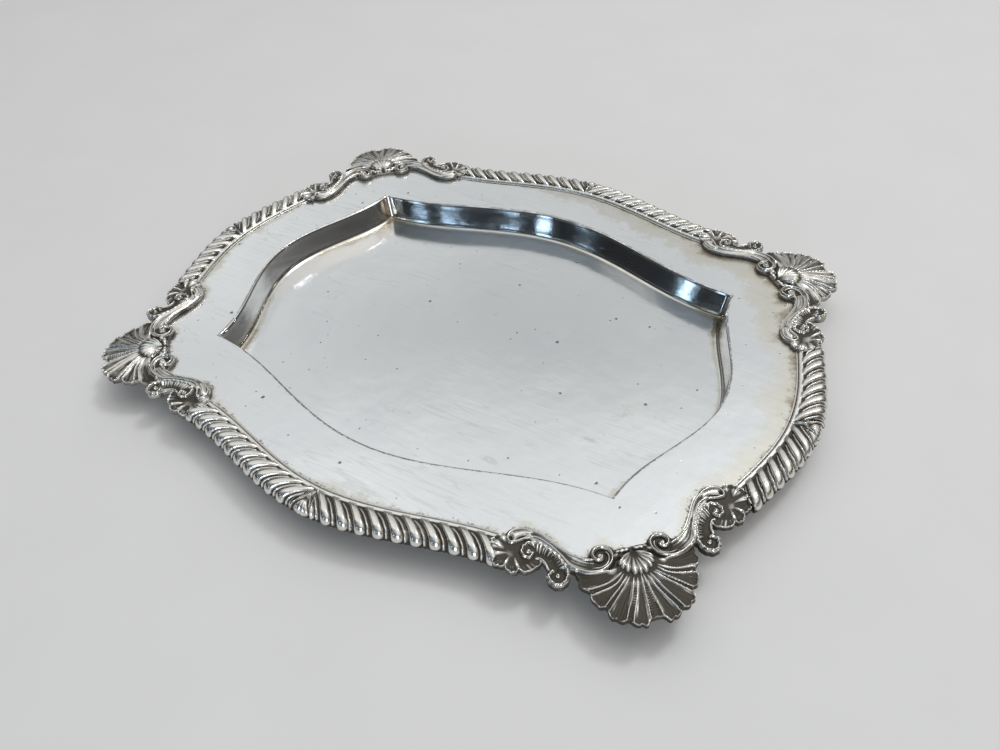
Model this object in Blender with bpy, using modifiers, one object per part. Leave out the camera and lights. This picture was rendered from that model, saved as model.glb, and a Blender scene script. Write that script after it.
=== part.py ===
"""A rectangular silver salver with a deep ogee-sided well and a soldered gadroon-and-shell border.

The dish body is one sheet: a flat floor, a steep wall and a flat flange. The border stands on the
flange's edge: four corner mounts, eight gadroon strips and four leaves, each struck hollow from thin
silver, and the solder that fills the strips and the corner mounts.

Frame: metres, +Z up, +X along the long side, origin at the centre of the floor's underside.
The front is -Y. Corner mounts are drawn in their own frame: u points outwards along the mitre, and
v runs along the border.
"""

import math

import bmesh
import bpy
from mathutils import Matrix, Vector

MM = 0.001

# Sheet and heights
SHEET = 1.0 * MM
WELL_DEPTH = 12.9 * MM
FLANGE_TOP = SHEET + WELL_DEPTH
SOLDER_GAP = 0.3 * MM
FLOOR_BLEND = 2.2 * MM
RIM_ROLL = 1.4 * MM

# Half sizes of the well at its four cusps, and how far each side swells past them
RIM_HALF_LENGTH = 96.6 * MM
RIM_HALF_WIDTH = 64.3 * MM
RIM_LONG_SWELL = 21.6 * MM
RIM_SHORT_SWELL = 18.3 * MM
FLOOR_HALF_LENGTH = 92.1 * MM
FLOOR_HALF_WIDTH = 62.0 * MM
FLOOR_LONG_SWELL = 19.2 * MM
FLOOR_SHORT_SWELL = 19.7 * MM

# Border: the inner edge of each side's gadroon band, its swell and where its strips end
BAND_WIDTH = 12.3 * MM
LONG_BAND = {"base": 95.7 * MM, "swell": 14.2 * MM, "period": 81.8 * MM, "end": 65.7 * MM, "lobes": 10}
SHORT_BAND = {"base": 125.1 * MM, "swell": 15.1 * MM, "period": 77.0 * MM, "end": 37.5 * MM, "lobes": 6}
BAND_TAPER = 0.06
FLANGE_UNDER_BAND = 6.0 * MM
LEAF_TIP_HALF_WIDTH = 0.35 * MM
LEAF_SPREAD = 0.36
LOBE_SLANT = 0.75
LOBE_DIP = 0.9 * MM
STRIP_END_GAP = 0.6 * MM
CROWN_HEIGHT = 3.1 * MM

# Corner mounts: the origin of their own frame, and the mitre's angle from the X axis
MOUNT_X = 110.4 * MM
MOUNT_Y = 81.4 * MM
MITRE_ANGLE = math.radians(47.3)
MOUNT_EDGE = 1.6 * MM
CAVITY_HEIGHT = 1.0 * MM
FLANGE_LOBE = {"centre": (5.0, 0.0), "radius": 15.5, "half_spread": 78}
BIG_SHELL = {"centre": (5.0, 0.0), "radius": 21.6, "flutes": 13}
SMALL_SHELL = {"centre": (-9.5, 37.8), "radius": 8.5, "flutes": 7}
HEEL_SHELL = {"centre": (2.6, 0.0), "radius": 7.6, "flutes": 7}
OUTER_VOLUTE = {"centre": (3.3, 26.6), "radius": 3.9}
MAIN_VOLUTE = {"centre": (0.0, 10.9), "radius": 3.9}
INNER_VOLUTE = {"centre": (-7.5, 33.3), "radius": 3.2}

CORNERS = {"front_left": (-1, -1), "front_right": (1, -1), "back_left": (-1, 1), "back_right": (1, 1)}

POLISHED_SILVER = ("polished_silver", (0.86, 0.86, 0.85), 0.12)
STRUCK_SILVER = ("struck_silver", (0.72, 0.70, 0.66), 0.28)
SOLDER = ("lead_tin_solder", (0.36, 0.37, 0.39), 0.55)


def remove_scene_objects():
    for old in list(bpy.data.objects):
        bpy.data.objects.remove(old, do_unlink=True)


def make_collection(name):
    collection = bpy.data.collections.new(name)
    bpy.context.scene.collection.children.link(collection)
    return collection


def make_material(finish):
    name, colour, roughness = finish
    material = bpy.data.materials.get(name)
    if material:
        return material
    material = bpy.data.materials.new(name)
    material.use_nodes = True
    shader = material.node_tree.nodes["Principled BSDF"]
    shader.inputs["Base Color"].default_value = (*colour, 1.0)
    shader.inputs["Roughness"].default_value = roughness
    shader.inputs["Metallic"].default_value = 1.0
    return material


def add_object(name, mesh, collection, finish=None):
    part = bpy.data.objects.new(name, mesh)
    collection.objects.link(part)
    if finish and not mesh.materials:
        mesh.materials.append(make_material(finish))
    return part


def mesh_from(bm, name, smooth_angle=None):
    """A mesh from bm, with its faces pointing outwards and shaded smooth below the given angle."""
    bmesh.ops.recalc_face_normals(bm, faces=bm.faces)
    mesh = bpy.data.meshes.new(name)
    bm.to_mesh(mesh)
    bm.free()
    if smooth_angle:
        mesh.shade_smooth()
        mesh.set_sharp_from_angle(angle=math.radians(smooth_angle))
    return mesh


def loft(rings):
    """A closed bmesh through rings of equal length, with a flat face on each end."""
    bm = bmesh.new()
    rows = [[bm.verts.new(point) for point in ring] for ring in rings]
    count = len(rows[0])
    for lower, upper in zip(rows, rows[1:]):
        for i in range(count):
            j = (i + 1) % count
            bm.faces.new((lower[i], lower[j], upper[j], upper[i]))
    bm.faces.new(rows[0])
    bm.faces.new(rows[-1])
    return bm


def swell(distance, half):
    """1 in the middle of a side and 0 at its ends, as a raised cosine."""
    return (1 + math.cos(math.pi * distance / half)) / 2


# ---------------------------------------------------------------- dish body


def well_outline(half_length, half_width, long_swell, short_swell, points_a_side=16):
    """The four ogee sides of the well, counter-clockwise from the front left cusp."""
    front = []
    right = []
    for i in range(points_a_side):
        t = -1 + 2 * i / points_a_side
        front.append((t * half_length, -half_width - long_swell * swell(t, 1)))
        right.append((half_length + short_swell * swell(t, 1), t * half_width))
    back = [(-x, -y) for x, y in front]
    left = [(-x, -y) for x, y in right]
    return front + right + back + left


def wall_profile():
    """How the sheet climbs from floor to flange, as (share of the way out, height) pairs."""
    steps = 3
    profile = []
    for i in range(steps + 1):
        angle = math.pi / 2 * i / steps
        share = 0.45 * math.sin(angle)
        profile.append((share, SHEET + FLOOR_BLEND * (1 - math.cos(angle))))
    for i in range(steps + 1):
        angle = math.pi / 2 * i / steps
        share = 0.75 + 0.25 * (1 - math.cos(angle))
        profile.append((share, FLANGE_TOP - RIM_ROLL * (1 - math.sin(angle))))
    return profile


def well_rings():
    floor = well_outline(FLOOR_HALF_LENGTH, FLOOR_HALF_WIDTH, FLOOR_LONG_SWELL, FLOOR_SHORT_SWELL)
    rim = well_outline(RIM_HALF_LENGTH, RIM_HALF_WIDTH, RIM_LONG_SWELL, RIM_SHORT_SWELL)
    rings = []
    for share, height in wall_profile():
        ring = [
            (fx + (rx - fx) * share, fy + (ry - fy) * share, height)
            for (fx, fy), (rx, ry) in zip(floor, rim)
        ]
        rings.append(ring)
    return rings


def band_edge(band, along):
    """How far the band's inner edge stands from the centre line, this far along the side."""
    return band["base"] + band["swell"] * swell(along, band["period"])


def flange_side(band, points=9):
    """Half of the flange's edge on one side, under the band, from mid-side to the strip's end."""
    side = []
    for i in range(points):
        along = band["end"] * i / (points - 1)
        side.append((along, band_edge(band, along) + FLANGE_UNDER_BAND))
    return side


def corner_point(u, v):
    """A point of the back right corner mount's frame (in mm) on the dish, as x and y."""
    c = math.cos(MITRE_ANGLE)
    s = math.sin(MITRE_ANGLE)
    x = MOUNT_X + (u * c - v * s) * MM
    y = MOUNT_Y + (u * s + v * c) * MM
    return x, y


def flange_corner():
    """The flange's edge under a corner mount, from the short side's strip to the long side's."""
    neck = [(-9.0, -34.0), (-8.0, -27.0), (-0.5, -20.5)]
    spread = FLANGE_LOBE["half_spread"]
    lobe = arc(FLANGE_LOBE["centre"], FLANGE_LOBE["radius"], -spread, spread, 8)
    far_neck = [(u, -v) for u, v in reversed(neck)]
    return [corner_point(u, v) for u, v in neck + lobe + far_neck]


def flange_outline():
    """The flange's edge, counter-clockwise: one quarter, mirrored to the other three."""
    short_side = [(edge, along) for along, edge in flange_side(SHORT_BAND)]
    long_side = flange_side(LONG_BAND)
    quarter = short_side + flange_corner() + long_side[::-1]
    left_quarter = [(-x, y) for x, y in reversed(quarter[:-1])]
    upper = quarter + left_quarter
    lower = [(-x, -y) for x, y in upper[1:-1]]
    return upper + lower


def dish_sheet():
    """The sheet's upper surface: floor, wall and flange, open at the flange's edge."""
    bm = bmesh.new()
    rows = [[bm.verts.new(point) for point in ring] for ring in well_rings()]
    count = len(rows[0])
    bm.faces.new(rows[0])
    for lower, upper in zip(rows, rows[1:]):
        for i in range(count):
            j = (i + 1) % count
            bm.faces.new((lower[i], lower[j], upper[j], upper[i]))
    edge = [bm.verts.new((x, y, FLANGE_TOP)) for x, y in flange_outline()]
    for loop in (rows[-1], edge):
        for i in range(len(loop)):
            if not bm.edges.get((loop[i], loop[(i + 1) % len(loop)])):
                bm.edges.new((loop[i], loop[(i + 1) % len(loop)]))
    border = [e for e in bm.edges if len(e.link_faces) < 2]
    bmesh.ops.triangle_fill(bm, edges=border, use_beauty=True, normal=(0, 0, 1))
    mesh = mesh_from(bm, "dish_body", smooth_angle=40)
    if mesh.polygons[0].normal.z < 0:
        mesh.flip_normals()
    return mesh


def build_dish_body(parts):
    dish = add_object("dish_body", dish_sheet(), parts, POLISHED_SILVER)
    thickness = dish.modifiers.new("sheet thickness", "SOLIDIFY")
    thickness.thickness = SHEET
    thickness.offset = -1
    thickness.use_even_offset = True


# ---------------------------------------------------------------- gadroon strips and leaves


def band_point(band, along, out, height):
    """A point of a band drawn in its right or back half: along, out from its inner edge, and up."""
    taper = 1 - BAND_TAPER * min(1, along / band["end"])
    return (along, band_edge(band, along) + out * taper, FLANGE_TOP + height)


def strip_end(band, out):
    """How far along the side a strip reaches: its end is cut to the round of the small shell."""
    u, v = SMALL_SHELL["centre"]
    if band is LONG_BAND:
        shell_along, shell_across = corner_point(u, v)
    else:
        shell_across, shell_along = corner_point(u, -v)
    reach = SMALL_SHELL["radius"] * MM + STRIP_END_GAP
    along = band["end"]
    for _ in range(4):
        beside = band_edge(band, along) + out * (1 - BAND_TAPER) - shell_across
        along = shell_along - math.sqrt(max(reach ** 2 - beside ** 2, (reach / 2) ** 2))
    return along


def station(band, share, out):
    """Where a cross-section that slants like the lobes meets this distance out from the inner edge."""
    start = LEAF_TIP_HALF_WIDTH + SOLDER_GAP + LEAF_SPREAD * out
    lean = (LOBE_SLANT - LEAF_SPREAD) * math.sin(math.pi * share) * out
    return start + (strip_end(band, out) - start) * share + lean


def strip_section(lobe):
    """The struck strip's section as (out, height): over the crown, then back under the skin."""
    dip = LOBE_DIP * (1 - lobe)
    width = BAND_WIDTH / MM
    top = CROWN_HEIGHT / MM
    over = [(0, 0.3), (0, 1.0), (1.6, 1.3), (3.5, top - 0.5)]
    over += [(6.5, top), (9.5, 2.4), (11.5, 0.4), (width, -1.9)]
    under = [(width - 0.2, -2.8), (11.2, -2.8), (11.1, -1.8), (10.3, -0.1)]
    under += [(8.8, 1.1), (6.5, top - 1.5), (3.8, 1.2), (2.4, 0.3)]
    crown = [(out * MM, height * MM - dip * math.sin(math.pi * out / width)) for out, height in over]
    return crown + [(out * MM, height * MM) for out, height in under]


def solder_section():
    """The filling's section: under the skin, and down past the flange's edge."""
    crown = [(3.0, 0.3), (4.0, 0.9), (6.5, 1.25), (8.6, 0.8), (9.9, -0.3), (10.7, -1.9), (10.8, -2.6)]
    beside_flange = [(6.5, -2.6), (6.5, 0.3)]
    return [(out * MM, height * MM) for out, height in crown + beside_flange]


def side_strip(band, sections):
    """Rings through slanted stations, one for each section."""
    rings = []
    last = len(sections) - 1
    for i, section in enumerate(sections):
        ring = [
            band_point(band, station(band, i / last, out), out, height)
            for out, height in section
        ]
        rings.append(ring)
    return rings


def place_ring(ring, long_side, side, end):
    """Turns a ring drawn for the back side's right half onto a side (+1 or -1) and an end of it."""
    if long_side:
        return [(end * along, side * across, height) for along, across, height in ring]
    return [(side * across, end * along, height) for along, across, height in ring]


def build_strip(parts, name, band, long_side, side, end):
    skin = []
    for i in range(2 * band["lobes"] + 1):
        skin.append(strip_section(lobe=i % 2))
    rings = [place_ring(ring, long_side, side, end) for ring in side_strip(band, skin)]
    mesh = mesh_from(loft(rings), "gadroon_" + name, smooth_angle=50)
    add_object("gadroon_" + name, mesh, parts, STRUCK_SILVER)

    filling = [solder_section() for _ in range(band["lobes"] + 1)]
    rings = [place_ring(ring, long_side, side, end) for ring in side_strip(band, filling)]
    mesh = mesh_from(loft(rings), "gadroon_solder_" + name, smooth_angle=50)
    add_object("gadroon_solder_" + name, mesh, parts, SOLDER)


def leaf_ring(band, out, crown, foot):
    """A leaf's section at one distance out: a low ridge with a lip on each side."""
    half = LEAF_TIP_HALF_WIDTH + LEAF_SPREAD * out * MM
    lip = foot + 0.6 * (crown - foot)
    shoulder = crown - 0.1
    across = [(-half, foot), (-half, lip), (-half / 2, shoulder), (0, crown)]
    across += [(half / 2, shoulder), (half, lip), (half, foot)]
    ring = []
    for along, height in across:
        _, y, z = band_point(band, abs(along), out * MM, height * MM)
        ring.append((along, y, z))
    return ring


def build_leaf(parts, name, band, long_side, side):
    flat_part = [(0, 1.1, 0.3), (3.5, 2.8, 0.3), (6.5, 3.4, 0.3), (9.5, 2.9, 0.3)]
    turned_down = [(11.4, 1.0, -1.6), (12.4, -0.8, -2.4)]
    rings = [place_ring(leaf_ring(band, *step), long_side, side, 1) for step in flat_part + turned_down]
    mesh = mesh_from(loft(rings), "leaf_" + name, smooth_angle=50)
    add_object("leaf_" + name, mesh, parts, STRUCK_SILVER)


# ---------------------------------------------------------------- corner mounts


def arc(centre, radius, start, end, steps):
    points = []
    for i in range(steps + 1):
        angle = math.radians(start + (end - start) * i / steps)
        points.append((centre[0] + radius * math.cos(angle), centre[1] + radius * math.sin(angle)))
    return points


def both_halves(half):
    """A closed outline from the half at v >= 0, whose first and last points lie on the mitre."""
    return half + [(u, -v) for u, v in reversed(half[1:-1])]


def mount_outline():
    """The corner mount's edge in mm: heel, main volute, scroll, small shell, outer volute, big shell."""
    half = [(-0.8, 0.0), (-0.5, 5.5)]
    half += arc(MAIN_VOLUTE["centre"], MAIN_VOLUTE["radius"], 240, 150, 3)
    half += [(-1.7, 15.6), (-3.8, 19.4), (-9.8, 24.1), (-16.0, 29.6), (-17.7, 33.4), (-17.7, 36.5)]
    half += arc(SMALL_SHELL["centre"], SMALL_SHELL["radius"], 158, -32, 8)
    half += [(-1.6, 29.6)]
    half += arc(OUTER_VOLUTE["centre"], OUTER_VOLUTE["radius"], 130, -50, 5)
    half += arc(BIG_SHELL["centre"], BIG_SHELL["radius"], 84, 0, 8)
    return both_halves(half)


def cavity_outline():
    """The hollow under the corner mount, in mm, well inside its edge."""
    half = [(2.5, 0.0), (2.2, 8.0), (2.0, 15.0), (0.0, 20.0), (-6.0, 25.5), (-11.5, 29.5), (-13.8, 34.0)]
    half += arc(SMALL_SHELL["centre"], 5.5, 150, -20, 4)
    half += [(-3.5, 31.0), (1.0, 26.0), (3.5, 19.5)]
    half += arc(BIG_SHELL["centre"], 18.6, 80, 0, 6)
    return both_halves(half)


def shrink(outline, distance):
    """The outline moved inwards by a distance much smaller than its details."""
    moved = []
    count = len(outline)
    for i in range(count):
        before = Vector(outline[i - 1])
        after = Vector(outline[(i + 1) % count])
        along = (after - before).normalized()
        inward = Vector((along.y, -along.x))
        point = Vector(outline[i]) + inward * distance
        moved.append((point.x, point.y))
    return moved


def prism(outline, bottom, top):
    """A flat plate with this outline (in mm) between two heights."""
    rings = []
    for height in (bottom, top):
        rings.append([(u * MM, v * MM, height) for u, v in outline])
    return loft(rings)


def fluted_shell(shell, facing, spread, crown, foot):
    """A scallop shell: ribs fan from its centre and fall away to a fluted edge."""
    flutes = 2 * shell["flutes"]
    rings = []
    for i in range(flutes + 1):
        angle = math.radians(facing + spread * (i / flutes - 0.5))
        ridge = 0.35 * MM * (i % 2)
        ray = []
        for share, height in ((0.12, 1.0), (0.45, 0.85), (0.8, 0.45), (0.97, 0.2)):
            reach = shell["radius"] * share * MM
            ray.append((reach, foot + (crown - foot) * height - ridge))
        for share in (0.97, 0.12):
            ray.append((shell["radius"] * share * MM, foot - 0.6 * MM))
        ring = []
        for reach, height in ray:
            u = shell["centre"][0] * MM + reach * math.cos(angle)
            v = shell["centre"][1] * MM + reach * math.sin(angle)
            ring.append((u, v, height))
        rings.append(ring)
    return loft(rings)


def volute(scroll, height, foot):
    """A scroll's eye: a low cone frustum that stands on the plate."""
    bm = bmesh.new()
    bmesh.ops.create_cone(
        bm,
        cap_ends=True,
        segments=14,
        radius1=scroll["radius"] * 0.94 * MM,
        radius2=scroll["radius"] * 0.55 * MM,
        depth=height,
    )
    middle = foot - 0.4 * MM + height / 2
    bmesh.ops.translate(bm, verts=bm.verts, vec=(scroll["centre"][0] * MM, scroll["centre"][1] * MM, middle))
    return bm


def mirrored(scroll):
    u, v = scroll["centre"]
    return {**scroll, "centre": (u, -v)}


def scroll_arm(side):
    """The S-scroll that runs from the main volute out to the small shell, as a half-round rail."""
    curve = bpy.data.curves.new("scroll arm", "CURVE")
    curve.dimensions = "3D"
    curve.bevel_depth = 1.3 * MM
    curve.bevel_resolution = 1
    curve.use_fill_caps = True
    path = [(2.0, 14.0), (0.6, 18.0), (-4.6, 22.4), (-10.2, 26.6), (-14.6, 31.4), (-15.4, 35.6)]
    line = curve.splines.new("POLY")
    line.points.add(len(path) - 1)
    for point, (u, v) in zip(line.points, path):
        point.co = (u * MM, side * v * MM, MOUNT_EDGE, 1.0)
    rail = bpy.data.objects.new("scroll arm", curve)
    bpy.context.scene.collection.objects.link(rail)
    bpy.context.view_layer.update()
    mesh = bpy.data.meshes.new_from_object(rail.evaluated_get(bpy.context.evaluated_depsgraph_get()))
    bpy.data.objects.remove(rail, do_unlink=True)
    bm = bmesh.new()
    bm.from_mesh(mesh)
    bmesh.ops.remove_doubles(bm, verts=bm.verts, dist=0.01 * MM)
    bpy.data.meshes.remove(mesh)
    return bm


def add_guide(guides, bm, name):
    guide = add_object(name, mesh_from(bm, name), guides)
    guide.hide_render = True
    guide.display_type = "WIRE"
    return guide


def mount_ornaments():
    """Every raised shape that is struck into a corner mount's skin."""
    shapes = [
        fluted_shell(BIG_SHELL, 0, 160, 3.2 * MM, MOUNT_EDGE),
        fluted_shell(HEEL_SHELL, 0, 150, 4.0 * MM, 2.0 * MM),
    ]
    for side in (1, -1):
        flip = (lambda scroll: scroll) if side > 0 else mirrored
        shapes.append(fluted_shell(flip(SMALL_SHELL), side * 43, 150, 2.6 * MM, MOUNT_EDGE))
        for scroll, height in ((MAIN_VOLUTE, 1.9), (OUTER_VOLUTE, 1.6), (INNER_VOLUTE, 1.7)):
            shapes.append(volute(flip(scroll), height * MM, MOUNT_EDGE))
        shapes.append(scroll_arm(side))
    return shapes


def corner_mount_mesh(guides):
    """The struck skin: a plate with its ornaments joined on and its underside hollowed."""
    plate = add_object("mount plate", mesh_from(prism(mount_outline(), 0, MOUNT_EDGE), "mount plate"), guides)
    for i, shape in enumerate(mount_ornaments()):
        join = plate.modifiers.new("ornament", "BOOLEAN")
        join.operation = "UNION"
        join.object = add_guide(guides, shape, f"ornament {i}")
    hollow = prism(cavity_outline(), -1.0 * MM, CAVITY_HEIGHT)
    cut = plate.modifiers.new("hollow", "BOOLEAN")
    cut.operation = "DIFFERENCE"
    cut.object = add_guide(guides, hollow, "hollow")
    bpy.context.view_layer.update()
    mesh = bpy.data.meshes.new_from_object(plate.evaluated_get(bpy.context.evaluated_depsgraph_get()))
    mesh.name = "corner_mount"
    mesh.materials.clear()
    mesh.shade_smooth()
    mesh.set_sharp_from_angle(angle=math.radians(35))
    plate.hide_render = True
    plate.display_type = "WIRE"
    return mesh


def corner_solder_mesh():
    """The filling of a corner mount's hollow, with a solder film's gap all round."""
    outline = shrink(cavity_outline(), SOLDER_GAP / MM)
    return mesh_from(prism(outline, 0, CAVITY_HEIGHT - SOLDER_GAP), "corner_solder")


def build_corner(parts, name, mesh, finish, signs):
    """One corner piece: the back right mount's frame, turned to its own corner."""
    side_x, side_y = signs
    corner = add_object(name, mesh, parts, finish)
    angle = MITRE_ANGLE if side_x * side_y > 0 else -MITRE_ANGLE
    if side_x < 0:
        angle += math.pi
    corner.location = (side_x * MOUNT_X, side_y * MOUNT_Y, FLANGE_TOP + SOLDER_GAP)
    corner.rotation_euler = (0, 0, angle)


def main():
    remove_scene_objects()
    parts = make_collection("silver_salver")
    guides = make_collection("guides")
    build_dish_body(parts)
    mount = corner_mount_mesh(guides)
    filling = corner_solder_mesh()
    for name, signs in CORNERS.items():
        build_corner(parts, "corner_mount_" + name, mount, STRUCK_SILVER, signs)
        build_corner(parts, "corner_solder_" + name, filling, SOLDER, signs)
    for side, side_name in ((-1, "front"), (1, "back")):
        build_leaf(parts, side_name, LONG_BAND, True, side)
        for end, end_name in ((-1, "left"), (1, "right")):
            build_strip(parts, f"{side_name}_{end_name}", LONG_BAND, True, side, end)
    for side, side_name in ((-1, "left"), (1, "right")):
        build_leaf(parts, side_name, SHORT_BAND, False, side)
        for end, end_name in ((-1, "front"), (1, "back")):
            build_strip(parts, f"{side_name}_{end_name}", SHORT_BAND, False, side, end)


main()
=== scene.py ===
"""The silver dish's visual model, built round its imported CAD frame.

The dish body, the corner mounts, the gadroon strips and the leaves are built again in fine mesh.
The solder fillings stay as the CAD made them. Sizes are in millimetres, and MM turns them into metres.
Corner ornament is drawn as (along, out) points: along runs with the border from the mitre, and out
points away from the dish. Border sections are drawn as (out, up) points from the flange's edge.
"""

import math

import bmesh
import bpy
import numpy as np
from mathutils import Matrix, Vector
from mathutils.geometry import delaunay_2d_cdt


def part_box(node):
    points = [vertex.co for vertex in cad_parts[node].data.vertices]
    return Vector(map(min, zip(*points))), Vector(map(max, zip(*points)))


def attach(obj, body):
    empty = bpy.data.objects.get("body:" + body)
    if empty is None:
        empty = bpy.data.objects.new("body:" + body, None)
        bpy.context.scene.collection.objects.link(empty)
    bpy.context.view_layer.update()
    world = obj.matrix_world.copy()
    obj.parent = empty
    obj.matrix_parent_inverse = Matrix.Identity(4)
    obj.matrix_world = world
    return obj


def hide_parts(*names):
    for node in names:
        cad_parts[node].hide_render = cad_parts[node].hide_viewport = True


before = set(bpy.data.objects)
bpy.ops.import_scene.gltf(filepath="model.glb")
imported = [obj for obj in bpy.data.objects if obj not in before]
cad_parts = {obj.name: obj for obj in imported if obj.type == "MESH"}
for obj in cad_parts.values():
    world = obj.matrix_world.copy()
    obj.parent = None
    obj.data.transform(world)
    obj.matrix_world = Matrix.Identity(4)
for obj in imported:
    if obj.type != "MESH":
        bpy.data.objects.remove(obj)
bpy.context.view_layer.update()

MM = 0.001
FLANGE_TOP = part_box("dish_body")[1].z / MM

# A corner mount's own frame has its origin on the mitre, this far inside the mount's outermost points
MOUNT_REACH = (29.75, 27.14)
MOUNT_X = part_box("corner_mount_back_right")[1].x / MM - MOUNT_REACH[0]
MOUNT_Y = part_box("corner_mount_back_right")[1].y / MM - MOUNT_REACH[1]
MITRE_ANGLE = math.radians(47.3)
CORNERS = {"front_left": (-1, -1), "front_right": (1, -1), "back_left": (-1, 1), "back_right": (1, 1)}

# Well: its floor and its rim each have four ogee sides. WALL_FOOT and WALL_HEAD are shares of the way
# between them, where the curves at the wall's foot and head end.
SHEET = 1.0
RIM = {"half_length": 96.6, "half_width": 64.3, "long_swell": 21.6, "short_swell": 18.3, "fullness": 0.93}
FLOOR = {"half_length": 92.1, "half_width": 62.0, "long_swell": 19.2, "short_swell": 19.7, "fullness": 0.97}
POINTS_A_SIDE = 72
FLOOR_BLEND = 2.2
RIM_ROLL = 1.4
WALL_FOOT = 0.45
WALL_HEAD = 0.75
RIM_SUPPORT = 0.5
GRID = 3.0
BORDER_ROWS = (0.3, 1.0, 2.0, 3.2, 4.6)

# Grime, and a thin dark line painted round the rim as a painted dark reflection in its roll: the line's
# strength, and how far grime fades from the wall's foot, the cusps and the border
RIM_PAINTED_REFLECTION = 0.9
FOOT_REACH = 3.0
CUSP_REACH = 14.0
BORDER_REACH = 4.0
BACK_RIGHT_REACH = 11.0
DIRT_REACH = 2.0

# Gadroon bands: a band's edge swells at mid-side, and its lobes slide along as they run outwards
LONG_BAND = {"base": 95.7, "swell": 14.2, "period": 81.8, "end": 65.7, "knob_end": 72.0,
             "pitch": 6.73, "first": 1.55, "slide": 10.2}
SHORT_BAND = {"base": 125.1, "swell": 15.1, "period": 77.0, "end": 37.5, "knob_end": 45.2,
              "pitch": 6.45, "first": 0.7, "slide": 9.7}
BAND_TAPER = 0.06
BAND_WIDTH = 12.3
SHELL_OVERLAP = 0.35
LINE_STEP = 0.12


def smoothstep(x, low, high):
    t = np.clip((x - low) / (high - low), 0, 1)
    return t * t * (3 - 2 * t)


def ridge(x, half_width):
    """A bell curve: 1 at 0, and about a third at the half width."""
    return np.exp(-((x / half_width) ** 2))


def swell(distance, half):
    """1 in the middle of a side and 0 at its ends, as a raised cosine."""
    return (1 + np.cos(np.pi * np.clip(distance / half, -1, 1))) / 2


# ---------------------------------------------------------------- lines and meshes


def unit(vectors):
    return vectors / np.hypot(*vectors.T)[..., None]


def left_of(tangents):
    """Unit normals on the left of a line's tangents."""
    return unit(np.column_stack([-tangents[:, 1], tangents[:, 0]]))


def curve_through(points, step=LINE_STEP):
    """A Catmull-Rom curve through the points, cut into equal steps."""
    fine = np.array(points, float)
    if len(fine) > 2:
        ends = np.vstack([2 * fine[0] - fine[1], fine, 2 * fine[-1] - fine[-2]])
        t = np.linspace(0, 1, 12, endpoint=False)[:, None]
        pieces = []
        for a, b, c, d in zip(ends, ends[1:], ends[2:], ends[3:]):
            pieces.append(0.5 * (2 * b + (c - a) * t + (2 * a - 5 * b + 4 * c - d) * t**2
                                 + (3 * b - a - 3 * c + d) * t**3))
        fine = np.vstack(pieces + [fine[-1:]])
    return equal_steps(fine, step)


def run_along(line):
    """How far along the line each of its points is."""
    return np.concatenate([[0], np.cumsum(np.hypot(*np.diff(line[:, :2], axis=0).T))])


def resample(line, count):
    """The line cut by the given number of evenly spaced points."""
    run = run_along(line)
    return np.column_stack([np.interp(np.linspace(0, run[-1], count), run, column) for column in line.T])


def equal_steps(line, step):
    return resample(line, max(2, int(round(run_along(line)[-1] / step)) + 1))


def inside_loop(x, y, loop):
    """Which of the places (x, y) lie inside a closed outline."""
    inside = np.zeros(x.shape, bool)
    loop = np.asarray(loop, float)
    for (x0, y0), (x1, y1) in zip(loop, np.roll(loop, -1, axis=0)):
        if y0 != y1:
            crossing = (y > min(y0, y1)) & (y <= max(y0, y1))
            inside ^= crossing & (x < x0 + (y - y0) * (x1 - x0) / (y1 - y0))
    return inside


def signed_volume(points, faces):
    total = 0.0
    for i in range(1, faces.shape[1] - 1):
        a, b, c = points[faces[:, 0]], points[faces[:, i]], points[faces[:, i + 1]]
        total += np.einsum("ij,ij->i", a, np.cross(b, c)).sum()
    return total


def link(thing):
    bpy.context.scene.collection.objects.link(thing)
    return thing


def new_object(name, points, faces, layers, material):
    """A smooth-shaded object from points in millimetres, with a float layer for each given name."""
    mesh = bpy.data.meshes.new(name)
    mesh.from_pydata((points * MM).tolist(), [], faces)
    for layer, values in layers.items():
        attribute = mesh.attributes.new(layer, "FLOAT", "POINT")
        attribute.data.foreach_set("value", np.asarray(values, np.float32).ravel())
    mesh.shade_smooth()
    mesh.materials.append(material)
    return link(bpy.data.objects.new(name, mesh))


def closed_object(name, points, faces, layers, material):
    """An object whose closed surface is turned to face outwards."""
    if signed_volume(points, faces) < 0:
        faces = faces[:, ::-1]
    return new_object(name, points, faces.tolist(), layers, material)


def ring_quads(rows, columns):
    """Quads between neighbouring closed rings of points."""
    index = np.arange(rows * columns).reshape(rows, columns)
    around = np.roll(index, -1, axis=1)
    return np.stack([index[:-1], around[:-1], around[1:], index[1:]], axis=-1).reshape(-1, 4)


def tube_faces(rows, columns):
    """Faces of a tube of closed rings, with quads across the ring at each end."""
    near = np.arange(columns // 2 - 1)
    far = columns - 1 - near
    cap = np.column_stack([near, far, far - 1, near + 1])
    return np.vstack([ring_quads(rows, columns), cap[:, ::-1], cap + (rows - 1) * columns])


# ---------------------------------------------------------------- relief of a corner mount

# Under each big shell the flange ends in a round lobe, centred this far out
LOBE_RADIUS = 15.5
LOBE_CENTRE = 5.0

CELL = 0.2
OUT_AXIS = np.arange(-20.0, 29.5, CELL)
ALONG_AXIS = np.arange(0.0, 48.5, CELL)

# Heights above the flange: open ground, the scrolls' plain body and the floor of their hollows
FIELD = 0.9
BODY = 1.15
HOLLOW_FLOOR = 1.3
RAY_SAMPLES = 280

# A mount's underside: its height over the flange and beside it, the least thickness, and bands of side wall
ON_FLANGE = 0.05
BESIDE_FLANGE = -1.0
THINNEST = 0.4
WALL_BANDS = 3


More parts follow.
